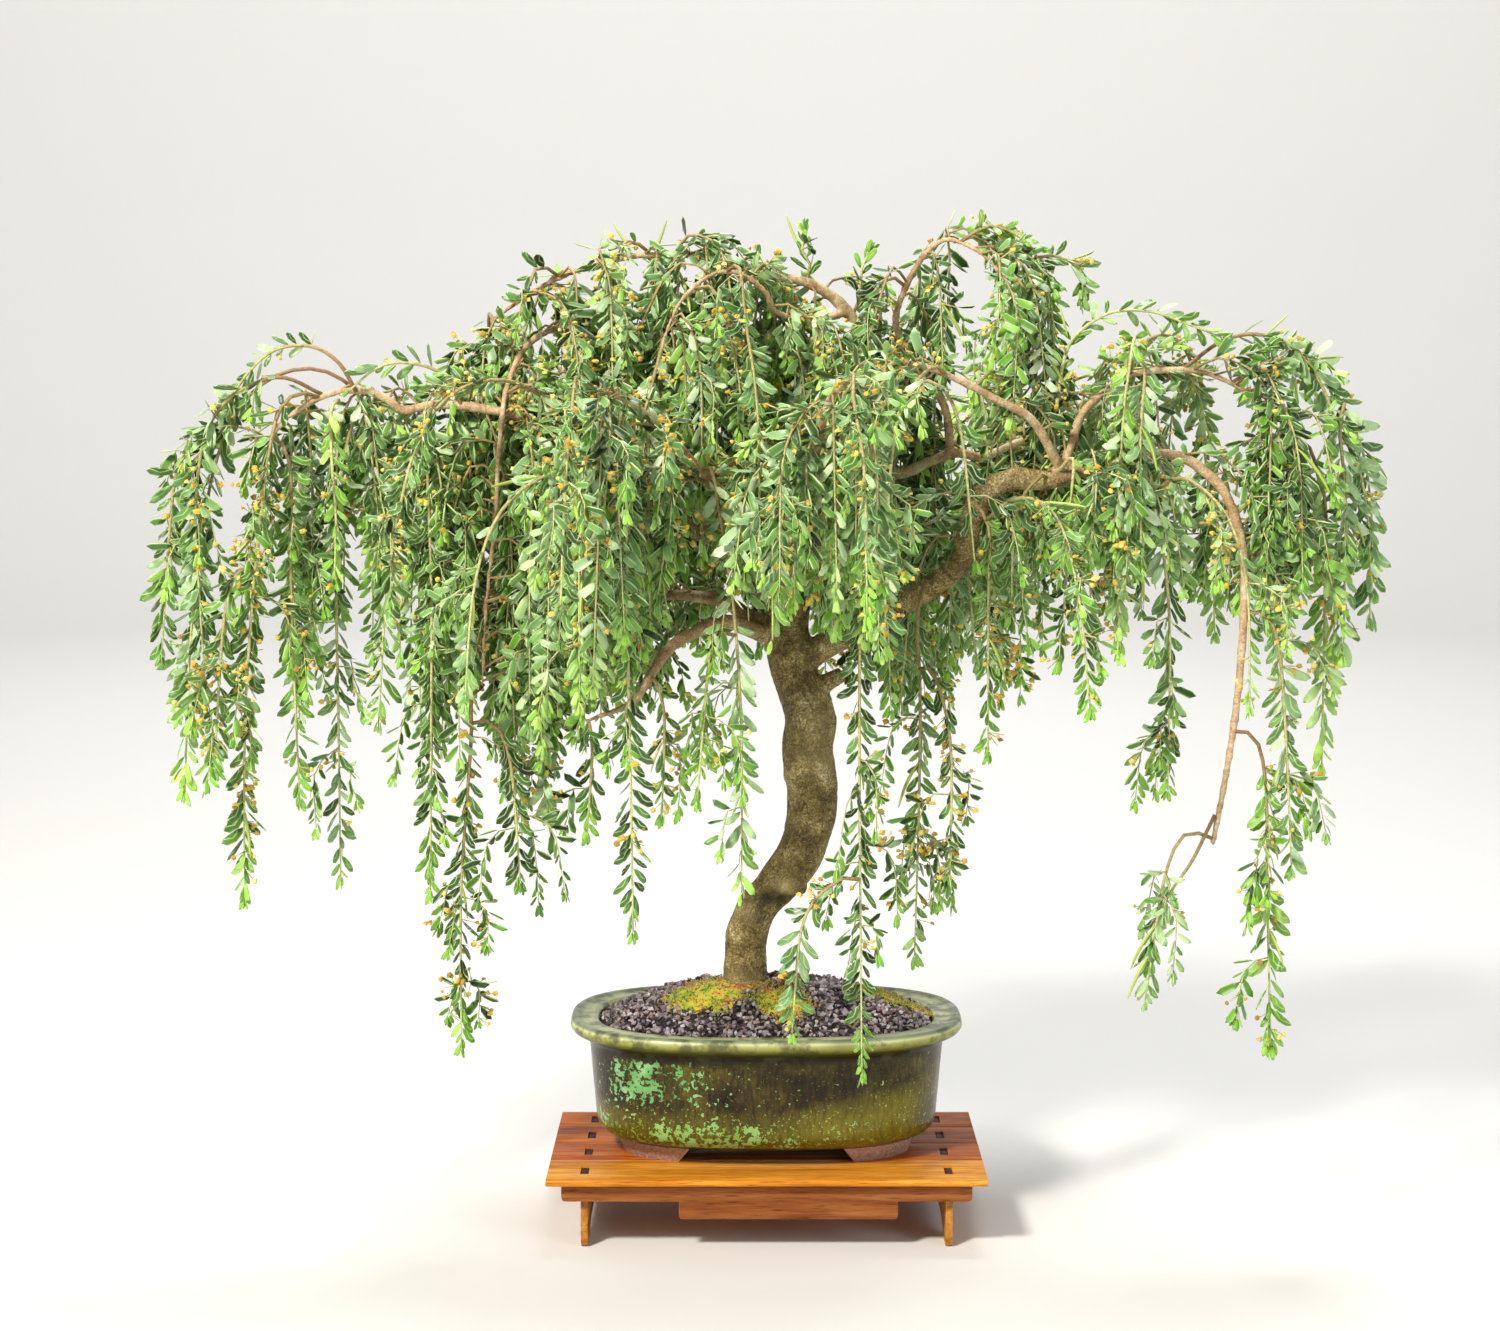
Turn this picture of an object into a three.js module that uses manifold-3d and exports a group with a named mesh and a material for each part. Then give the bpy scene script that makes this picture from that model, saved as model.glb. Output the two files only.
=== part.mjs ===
// Weeping wattle bonsai in a glazed oval pot on a slatted timber stand. Millimetres, +Z up.
// The origin is on the ground under the middle of the stand, and the front looks along -Y.

import * as THREE from "three";
import { mergeVertices } from "three/addons/utils/BufferGeometryUtils.js";
import Module from "manifold-3d";

const wasm = await Module();
wasm.setup();

// Driving dimensions
const clearance = 0.3;
const shortestEdge = 0.05;

const stand = {
  width: 315.6, depth: 190, top: 53, slatThickness: 5, slatGap: 0.6, frontSlat: 54,
  ease: 0.8, frontRound: 2.2,
  legAt: 131, legThickness: 5, legDepth: 164, footLength: 30, archHeight: 9, toeRadius: 6,
  tenonLength: 18, tenonBelowTop: 1, mortisePlay: 0.4,
  apronThickness: 6, apronLeft: -147, apronRight: 147, apronShallow: 35.5, apronDeep: 22.5,
  deepLeft: -63, deepRight: 94, apronRound: 3,
};

const pot = {
  centreY: 9, squareness: 2.65, widerThanDeep: 46, innerRatioFrom: 100, sides: 28,
  footInner: 97, footOuterBottom: 108, footOuterTop: 111, footSunk: 1,
  frontGapBottom: 64, frontGapTop: 56, sideGapBottom: 24, sideGapTop: 18,
  base: 63, floor: 71, drainRadius: 8, drainAt: 52,
};

// The soil's mound, from the pot's wall to its middle: how far out and how high.
const mound = [
  [123.2, 148], [110, 154.5], [92, 162], [73, 168.5], [53, 173.5], [32, 177], [13, 179.5], [0, 180],
];
const soil = { relief: 1.3, seed: 11, bottomHalfWidth: 113.4, cornerHalfWidth: 121.5, corner: 80.3 };
const moss = { thicknessBelow: 5, unevenness: 0.14 };

const leaf = {
  length: 25, width: 8, thickness: 0.8, arch: 1.6, lean: 0.8, every: 54, first: 0.1, last: 0.985,
};
const flower = {
  radius: 2.6, stalk: 7, stalkRadius: 0.7, lean: 1.1, every: 250, first: 0.25, last: 0.85,
};
const pod = { length: 36, radius: 1.3, arch: 7, everySpray: 5, along: 0.6, lean: 0.5 };
const rootSunk = 0.6;
const shootStep = 46;
const shootSway = 4;

const colours = {
  timberDark: 0x8a4a26, timberGold: 0xc98230, timberEdge: 0xb07a30, glaze: 0x4b4a22,
  grit: 0x3d3a3d, moss: 0x8d9322, bark: 0x8c7846, leaf: 0x4c7d45,
};

// Draws the same run of numbers between 0 and 1 each time.
function seeded(seed) {
  let state = seed;
  return () => {
    state = (state + 0x6d2b79f5) | 0;
    let mixed = Math.imul(state ^ (state >>> 15), 1 | state);
    mixed = (mixed + Math.imul(mixed ^ (mixed >>> 7), 61 | mixed)) ^ mixed;
    return ((mixed ^ (mixed >>> 14)) >>> 0) / 4294967296;
  };
}

// A closed geometry as a solid that can be joined and cut, with its faces turned out.
function solidOf(geometry) {
  geometry.deleteAttribute("normal");
  geometry.deleteAttribute("uv");
  const merged = mergeVertices(geometry, 1e-4);
  const position = merged.attributes.position;
  const index = merged.index.array;
  const corners = [];
  const a = new THREE.Vector3();
  const b = new THREE.Vector3();
  const c = new THREE.Vector3();
  let volume = 0;
  for (let i = 0; i < index.length; i += 3) {
    const face = [index[i], index[i + 1], index[i + 2]];
    if (new Set(face).size < 3) continue;
    a.fromBufferAttribute(position, face[0]);
    b.fromBufferAttribute(position, face[1]);
    c.fromBufferAttribute(position, face[2]);
    volume += a.dot(b.cross(c));
    corners.push(face);
  }
  if (volume < 0) corners.forEach((face) => face.reverse());
  return new wasm.Manifold(new wasm.Mesh({
    numProp: 3,
    vertProperties: Float32Array.from(position.array),
    triVerts: Uint32Array.from(corners.flat()),
  }));
}

// The largest body of a joined solid, without its shortest edges. Scraps left by a cut are dropped.
function mainBody(solid) {
  const bodies = solid.simplify(shortestEdge).decompose();
  return bodies.sort((one, other) => other.volume() - one.volume())[0];
}

const model = new THREE.Group();

function addPiece(name, solid, colour, roughness) {
  const mesh = solid.getMesh();
  const geometry = new THREE.BufferGeometry();
  geometry.setAttribute("position", new THREE.BufferAttribute(mesh.vertProperties, 3));
  geometry.setIndex(new THREE.BufferAttribute(mesh.triVerts, 1));
  geometry.computeVertexNormals();
  const material = new THREE.MeshStandardMaterial({ color: colour, roughness, metalness: 0 });
  const piece = new THREE.Mesh(geometry, material);
  piece.name = name;
  model.add(piece);
}

function boxAt(x0, x1, y0, y1, z0, z1) {
  const box = new THREE.BoxGeometry(x1 - x0, y1 - y0, z1 - z0);
  box.translate((x0 + x1) / 2, (y0 + y1) / 2, (z0 + z1) / 2);
  return solidOf(box);
}

// Stand: four slats lie on two leg panels, whose tenons come up through mortises in each slat.
const slatTop = stand.top;
const slatUnder = stand.top - stand.slatThickness;
const front = -stand.depth / 2;
const backSlat = (stand.depth - stand.frontSlat - 3 * stand.slatGap) / 3;
const slats = [
  { name: "slat_front", from: front, to: front + stand.frontSlat },
  ...["slat_second", "slat_third", "slat_back"].map((name, i) => {
    const from = front + stand.frontSlat + stand.slatGap + i * (backSlat + stand.slatGap);
    return { name, from, to: from + backSlat };
  }),
];

// One slat's section, seen from the end, with eased edges. The front slat's front edge is rounder.
function slatSection(from, to) {
  const round = from === front ? stand.frontRound : stand.ease;
  const ease = stand.ease;
  const section = new THREE.Shape();
  section.moveTo(from + round, slatUnder);
  section.lineTo(to - ease, slatUnder);
  section.lineTo(to, slatUnder + ease);
  section.lineTo(to, slatTop - ease);
  section.lineTo(to - ease, slatTop);
  section.lineTo(from + round, slatTop);
  section.quadraticCurveTo(from, slatTop, from, slatTop - round);
  section.lineTo(from, slatUnder + round);
  section.quadraticCurveTo(from, slatUnder, from + round, slatUnder);
  return section;
}

function makeSlat({ name, from, to }) {
  const geometry = new THREE.ExtrudeGeometry(slatSection(from, to), {
    depth: stand.width, bevelEnabled: false, curveSegments: 3,
  });
  // The section was drawn in Y and Z and pushed along the third axis, which becomes X.
  geometry.applyMatrix4(new THREE.Matrix4().makeBasis(
    new THREE.Vector3(0, 1, 0), new THREE.Vector3(0, 0, 1), new THREE.Vector3(1, 0, 0),
  ));
  geometry.translate(-stand.width / 2, 0, 0);
  const middle = (from + to) / 2;
  const halfLength = stand.tenonLength / 2 + stand.mortisePlay;
  const halfWidth = stand.legThickness / 2 + stand.mortisePlay;
  let slat = solidOf(geometry);
  for (const side of [-1, 1]) {
    const at = side * stand.legAt;
    slat = slat.subtract(boxAt(
      at - halfWidth, at + halfWidth, middle - halfLength, middle + halfLength,
      slatUnder - 1, slatTop + 1,
    ));
  }
  const isFront = name === "slat_front";
  addPiece(name, slat, isFront ? colours.timberGold : colours.timberDark, 0.35);
}
slats.forEach(makeSlat);

// A leg panel, drawn in Y and Z: an arch between two feet, and a rounded toe at each end.
function makeLeg(name, side) {
  const end = stand.legDepth / 2;
  const toe = stand.toeRadius;
  const panel = new THREE.Shape();
  panel.moveTo(-end, slatUnder);
  panel.lineTo(-end, toe);
  panel.quadraticCurveTo(-end, 0, -end + toe, 0);
  panel.lineTo(-end + stand.footLength, 0);
  panel.quadraticCurveTo(-end + stand.footLength, stand.archHeight, -end + 2 * stand.footLength, stand.archHeight);
  panel.lineTo(end - 2 * stand.footLength, stand.archHeight);
  panel.quadraticCurveTo(end - stand.footLength, stand.archHeight, end - stand.footLength, 0);
  panel.lineTo(end - toe, 0);
  panel.quadraticCurveTo(end, 0, end, toe);
  panel.lineTo(end, slatUnder);
  for (const { from, to } of [...slats].reverse()) {
    const middle = (from + to) / 2;
    const tenonTop = slatTop - stand.tenonBelowTop;
    panel.lineTo(middle + stand.tenonLength / 2, slatUnder);
    panel.lineTo(middle + stand.tenonLength / 2, tenonTop);
    panel.lineTo(middle - stand.tenonLength / 2, tenonTop);
    panel.lineTo(middle - stand.tenonLength / 2, slatUnder);
  }
  const geometry = new THREE.ExtrudeGeometry(panel, {
    depth: stand.legThickness, bevelEnabled: false, curveSegments: 4,
  });
  geometry.applyMatrix4(new THREE.Matrix4().makeBasis(
    new THREE.Vector3(0, 1, 0), new THREE.Vector3(0, 0, 1), new THREE.Vector3(1, 0, 0),
  ));
  geometry.translate(side * stand.legAt - stand.legThickness / 2, 0, 0);
  addPiece(name, solidOf(geometry), colours.timberEdge, 0.4);
}
makeLeg("leg_left", -1);
makeLeg("leg_right", 1);

// An apron board under the slats, deeper in the middle, drawn in X and Z.
function makeApron(name, face) {
  const { apronLeft, apronRight, apronShallow, apronDeep, deepLeft, deepRight, apronRound } = stand;
  const board = new THREE.Shape();
  board.moveTo(apronLeft, slatUnder);
  board.lineTo(apronLeft, apronShallow + apronRound);
  board.quadraticCurveTo(apronLeft, apronShallow, apronLeft + apronRound, apronShallow);
  board.lineTo(deepLeft, apronShallow);
  board.lineTo(deepLeft, apronDeep + apronRound);
  board.quadraticCurveTo(deepLeft, apronDeep, deepLeft + apronRound, apronDeep);
  board.lineTo(deepRight - apronRound, apronDeep);
  board.quadraticCurveTo(deepRight, apronDeep, deepRight, apronDeep + apronRound);
  board.lineTo(deepRight, apronShallow);
  board.lineTo(apronRight - apronRound, apronShallow);
  board.quadraticCurveTo(apronRight, apronShallow, apronRight, apronShallow + apronRound);
  board.lineTo(apronRight, slatUnder);
  const geometry = new THREE.ExtrudeGeometry(board, {
    depth: stand.apronThickness, bevelEnabled: false, curveSegments: 3,
  });
  geometry.rotateX(Math.PI / 2);
  geometry.translate(0, face, 0);
  addPiece(name, solidOf(geometry), colours.timberDark, 0.35);
}
makeApron("apron_front", -stand.legDepth / 2);
makeApron("apron_back", stand.legDepth / 2 + stand.apronThickness);

// The pot's plan at one height is a squared oval. Near the middle it keeps a fixed proportion.
function halfDepth(halfWidth) {
  const limit = pot.innerRatioFrom;
  if (halfWidth > limit) return halfWidth - pot.widerThanDeep;
  return halfWidth * (limit - pot.widerThanDeep) / limit;
}

// Turns a profile of [half width, height] about the pot's middle into a squared oval solid.
function ovalGeometry(profile) {
  const points = profile.map(([halfWidth, height]) => new THREE.Vector2(halfWidth, height));
  const geometry = new THREE.LatheGeometry(points, pot.sides);
  const position = geometry.attributes.position;
  const power = 2 / pot.squareness;
  for (let i = 0; i < position.count; i++) {
    const halfWidth = Math.hypot(position.getX(i), position.getZ(i));
    const angle = Math.atan2(position.getZ(i), position.getX(i));
    const [cos, sin] = [Math.cos(angle), Math.sin(angle)];
    const x = halfWidth * Math.sign(cos) * Math.abs(cos) ** power;
    const y = halfDepth(halfWidth) * Math.sign(sin) * Math.abs(sin) ** power;
    position.setXYZ(i, x, y + pot.centreY, position.getY(i));
  }
  return geometry;
}

// A prism with sloping sides that runs right under the pot and parts the foot ring.
function footGap(bottom, top, turn) {
  const opening = new THREE.Shape();
  opening.moveTo(-bottom, stand.top - 1);
  opening.lineTo(bottom, stand.top - 1);
  opening.lineTo(top, pot.base);
  opening.lineTo(-top, pot.base);
  const geometry = new THREE.ExtrudeGeometry(opening, { depth: 400, bevelEnabled: false });
  geometry.rotateX(Math.PI / 2);
  geometry.translate(0, 200, 0);
  geometry.rotateZ(turn);
  geometry.translate(0, pot.centreY, 0);
  return solidOf(geometry);
}

function makePot() {
  const shell = solidOf(ovalGeometry([
    [0, pot.base], [106, pot.base], [116, 66], [124, 72.5], [126.2, 80], [130.5, 129],
    [132.5, 138], [143.6, 143.5], [145, 148], [142.5, 152.4], [126, 151.6], [123.6, 146], [122, 80],
    [114, pot.floor], [0, pot.floor],
  ]));
  const ring = solidOf(ovalGeometry([
    [pot.footInner, stand.top], [pot.footOuterBottom, stand.top],
    [pot.footOuterTop, pot.base + pot.footSunk], [pot.footInner, pot.base + pot.footSunk],
    [pot.footInner, stand.top],
  ]));
  const feet = ring
    .subtract(footGap(pot.frontGapBottom, pot.frontGapTop, 0))
    .subtract(footGap(pot.sideGapBottom, pot.sideGapTop, Math.PI / 2));
  let body = shell.add(feet);
  for (const side of [-1, 1]) {
    const drain = new THREE.CylinderGeometry(pot.drainRadius, pot.drainRadius, 30, 12);
    drain.rotateX(Math.PI / 2);
    drain.translate(side * pot.drainAt, pot.centreY, pot.base);
    body = body.subtract(solidOf(drain));
  }
  addPiece("pot", mainBody(body), colours.glaze, 0.25);
}
makePot();

// Trunk and limbs: points along each centre line, and radii spaced evenly from end to end.
const limbs = {
  trunk: {
    points: [[-13, 5, 152], [-15, 5, 166], [-16, 5, 186], [-14, 4, 218], [1, 0, 253], [26, -2, 286],
      [33, 0, 320], [29, 2, 349], [32, 3, 375], [22, 4, 401], [15, 5, 430], [17, 6, 459]],
    radii: [18, 20.5, 18, 17.5, 19, 18.5, 17.5, 18, 17.5, 17, 16.5, 15], sides: 9, steps: 15,
  },
  leader: {
    points: [[17, 6, 459], [34, 22, 497], [62, 40, 527], [84, 40, 553], [90, 42, 597], [76, 38, 634],
      [60, 30, 669], [33, 22, 689], [4, 12, 695], [-23, 6, 703], [-55, 0, 710], [-91, -6, 709],
      [-127, -12, 701], [-162, -18, 686], [-198, -24, 661]],
    radii: [14, 10, 8, 6.5, 5.5, 4.5, 3.6, 3, 2.4, 1.8], sides: 6, steps: 14,
  },
  right: {
    points: [[25, 5, 415], [61, -12, 438], [96, -30, 458], [117, -40, 472], [137, -48, 491],
      [145, -52, 520], [155, -55, 541], [175, -58, 551], [200, -62, 550], [234, -66, 561],
      [283, -70, 568], [312, -74, 552], [326, -78, 530], [334, -82, 495], [334, -84, 453],
      [331, -84, 400], [324, -84, 345], [315, -84, 293]],
    radii: [11, 9, 8.5, 8, 7.5, 6, 4.5, 3.6, 3.2, 2.8, 2.6, 2.4], sides: 6, steps: 18,
  },
  rightUp: {
    points: [[208, -63, 556], [222, -50, 594], [237, -42, 609], [259, -35, 624], [300, -30, 627],
      [325, -28, 621], [354, -28, 604], [382, -28, 577]],
    radii: [5, 4, 3.2, 2.6, 2], sides: 5, steps: 8,
  },
  rightBack: {
    points: [[208, -63, 556], [185, -80, 592], [160, -92, 606], [130, -104, 621], [94, -112, 633],
      [70, -118, 624]],
    radii: [4.6, 3.8, 3, 2], sides: 5, steps: 7,
  },
  middle: {
    points: [[84, 40, 550], [103, 48, 551], [122, 56, 559], [142, 66, 565], [164, 78, 562],
      [191, 95, 572], [225, 115, 581], [258, 135, 573]],
    radii: [6, 5, 4, 3, 2], sides: 5, steps: 8,
  },
  topRight: {
    points: [[138, 64, 564], [132, 50, 601], [109, 36, 631], [95, 28, 660], [101, 18, 686],
      [113, 10, 708], [127, 2, 720], [140, -6, 718], [156, -16, 708], [173, -26, 687]],
    radii: [4, 3.6, 3.2, 2.6, 1.6], sides: 5, steps: 9,
  },
  left: {
    points: [[14, 6, 446], [-18, 0, 489], [-37, -8, 506], [-68, -20, 519], [-87, -28, 529],
      [-126, -38, 556], [-161, -46, 588], [-190, -52, 598], [-232, -58, 603], [-256, -60, 599],
      [-269, -62, 608], [-287, -64, 613], [-305, -66, 611], [-323, -68, 603], [-337, -70, 593],
      [-350, -72, 578]],
    radii: [10, 8, 7, 6, 5, 4.2, 3.6, 3, 2], sides: 5, steps: 14,
  },
  leftUp: {
    points: [[-77, -24, 523], [-92, -10, 562], [-108, 0, 605], [-128, 0, 641], [-148, -14, 656],
      [-170, -34, 645], [-183, -52, 617], [-188, -66, 578], [-191, -74, 522], [-198, -76, 459],
      [-201, -76, 402]],
    radii: [4.4, 3.6, 3, 2.6, 2.2, 1.6], sides: 4, steps: 10,
  },
  arch: {
    points: [[60, 30, 669], [33, 5, 663], [7, -20, 668], [-1, -34, 682], [-15, -42, 693],
      [-28, -50, 696], [-40, -58, 693], [-53, -68, 683], [-63, -76, 670], [-72, -86, 648]],
    radii: [3.6, 3, 2.6, 2.2, 1.6], sides: 5, steps: 9,
  },
  lowerBack: {
    points: [[9, 5, 436], [-16, 14, 448], [-28, 22, 456], [-57, 40, 460], [-79, 56, 459],
      [-114, 76, 454], [-150, 100, 463]],
    radii: [8, 5, 4, 3, 2], sides: 5, steps: 8,
  },
  lowerFront: {
    points: [[9, 5, 430], [-28, -8, 445], [-50, -22, 439], [-68, -36, 430], [-83, -50, 410],
      [-96, -58, 391], [-121, -66, 382]],
    radii: [8, 5.5, 4.5, 3.4, 2], sides: 5, steps: 8,
  },
  backRight: {
    points: [[34, 22, 488], [56, 70, 515], [96, 120, 543], [152, 165, 572], [218, 200, 595]],
    radii: [7, 5, 3.6, 2], sides: 5, steps: 5,
  },
  backLeft: {
    points: [[17, 8, 467], [-5, 60, 500], [-43, 110, 543], [-98, 150, 588], [-161, 180, 627]],
    radii: [7, 5, 3.6, 2], sides: 5, steps: 5,
  },
  backMiddle: {
    points: [[25, 8, 467], [30, 60, 515], [26, 120, 573], [19, 180, 627], [4, 230, 647]],
    radii: [7, 5, 3.6, 2], sides: 5, steps: 5,
  },
  frontLeft: {
    points: [[14, 4, 451], [-12, -50, 507], [-47, -100, 558], [-86, -140, 600], [-118, -170, 617]],
    radii: [7, 5, 3.6, 2], sides: 5, steps: 5,
  },
  frontMiddle: {
    points: [[17, 2, 456], [23, -60, 507], [32, -120, 566], [41, -165, 607], [50, -200, 618]],
    radii: [7, 5, 3.6, 2], sides: 5, steps: 5,
  },
  lowerKnuckle: {
    points: [[4, -2, 256], [14, -5, 254], [24, -7, 252]],
    radii: [9, 8.5, 5], sides: 6, steps: 2,
  },
  upperStub: {
    points: [[24, 3, 396], [40, 0, 400], [52, -2, 405]],
    radii: [6, 5.5, 4.5], sides: 6, steps: 2,
  },
};

function vector([x, y, z]) {
  return new THREE.Vector3(x, y, z);
}

function between(values, along) {
  const at = THREE.MathUtils.clamp(along, 0, 1) * (values.length - 1);
  const low = Math.min(Math.floor(at), values.length - 2);
  return THREE.MathUtils.lerp(values[low], values[low + 1], at - low);
}

// A cylinder bent along a curve, its radius following the list.
function bentTube(curve, radii, sides, steps, extra = 0) {
  const geometry = new THREE.CylinderGeometry(1, 1, 1, sides, steps);
  const { tangents, normals, binormals } = curve.computeFrenetFrames(steps);
  const position = geometry.attributes.position;
  for (let i = 0; i < position.count; i++) {
    const step = Math.round((position.getY(i) + 0.5) * steps);
    const radius = between(radii, step / steps) + extra;
    const point = curve.getPointAt(step / steps);
    if (step === 0) point.addScaledVector(tangents[0], -extra);
    if (step === steps) point.addScaledVector(tangents[steps], extra);
    point.addScaledVector(binormals[step], position.getX(i) * radius);
    point.addScaledVector(normals[step], position.getZ(i) * radius);
    position.setXYZ(i, point.x, point.y, point.z);
  }
  return solidOf(geometry);
}

const limbCurves = Object.fromEntries(Object.entries(limbs).map(([name, { points }]) => [
  name, new THREE.CatmullRomCurve3(points.map(vector), false, "catmullrom", 0.5),
]));

function woodSolid(extra) {
  return wasm.Manifold.union(Object.entries(limbs).map(([name, { radii, sides, steps }]) => (
    bentTube(limbCurves[name], radii, sides, steps, extra)
  )));
}

const wood = woodSolid(0);
const woodRoom = woodSolid(clearance);
addPiece("wood", mainBody(wood), colours.bark, 0.75);

// Soil: a mound of grit with a rough top, and a hole in which the trunk stands.
function soilSolid(lift) {
  const random = seeded(soil.seed);
  const geometry = ovalGeometry([
    [0, pot.floor], [soil.bottomHalfWidth, pot.floor], [soil.cornerHalfWidth, soil.corner], ...mound,
  ]);
  const merged = mergeVertices(geometry.deleteAttribute("normal").deleteAttribute("uv"), 1e-4);
  const position = merged.attributes.position;
  for (let i = 0; i < position.count; i++) {
    const high = position.getZ(i);
    if (high > mound[0][1] + 1) position.setZ(i, high + soil.relief * (2 * random() - 1) + lift);
  }
  return solidOf(merged);
}

const ground = soilSolid(0).subtract(woodRoom);
const groundRoom = soilSolid(clearance);
addPiece("soil", mainBody(ground), colours.grit, 0.95);

// Moss: low cushions that lie on the soil and stop short of the trunk.
const mossMats = [
  { name: "moss_left", centre: [-42, -12], reach: [33, 25], height: 6, turn: 0.2, seed: 3, detail: 1 },
  { name: "moss_front", centre: [12, -30], reach: [21, 14], height: 5, turn: -0.3, seed: 5, detail: 1 },
  { name: "moss_right", centre: [94, 12], reach: [28, 16], height: 4.5, turn: 0.1, seed: 8, detail: 1 },
];

// The mound's height over a place in the pot, without its roughness.
function moundHeight(x, y) {
  const widening = pot.innerRatioFrom / (pot.innerRatioFrom - pot.widerThanDeep);
  const out = Math.hypot(x, (y - pot.centreY) * widening);
  const outer = mound.findLastIndex(([halfWidth]) => halfWidth >= out);
  const [[far, low], [near, high]] = [mound[outer], mound[outer + 1]];
  return THREE.MathUtils.mapLinear(out, far, near, low, high);
}

function makeMoss({ name, centre, reach, height, turn, seed, detail }) {
  const random = seeded(seed);
  const cushion = new THREE.IcosahedronGeometry(1, detail);
  const merged = mergeVertices(cushion.deleteAttribute("normal").deleteAttribute("uv"), 1e-4);
  const position = merged.attributes.position;
  for (let i = 0; i < position.count; i++) {
    const swell = 1 + moss.unevenness * (2 * random() - 1);
    position.setXYZ(i, position.getX(i) * swell, position.getY(i) * swell, position.getZ(i) * swell);
  }
  merged.scale(reach[0], reach[1], height + moss.thicknessBelow);
  merged.rotateZ(turn);
  merged.translate(...centre, moundHeight(...centre) - moss.thicknessBelow);
  addPiece(name, mainBody(solidOf(merged).subtract(groundRoom).subtract(woodRoom)), colours.moss, 0.9);
}
mossMats.forEach(makeMoss);

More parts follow.
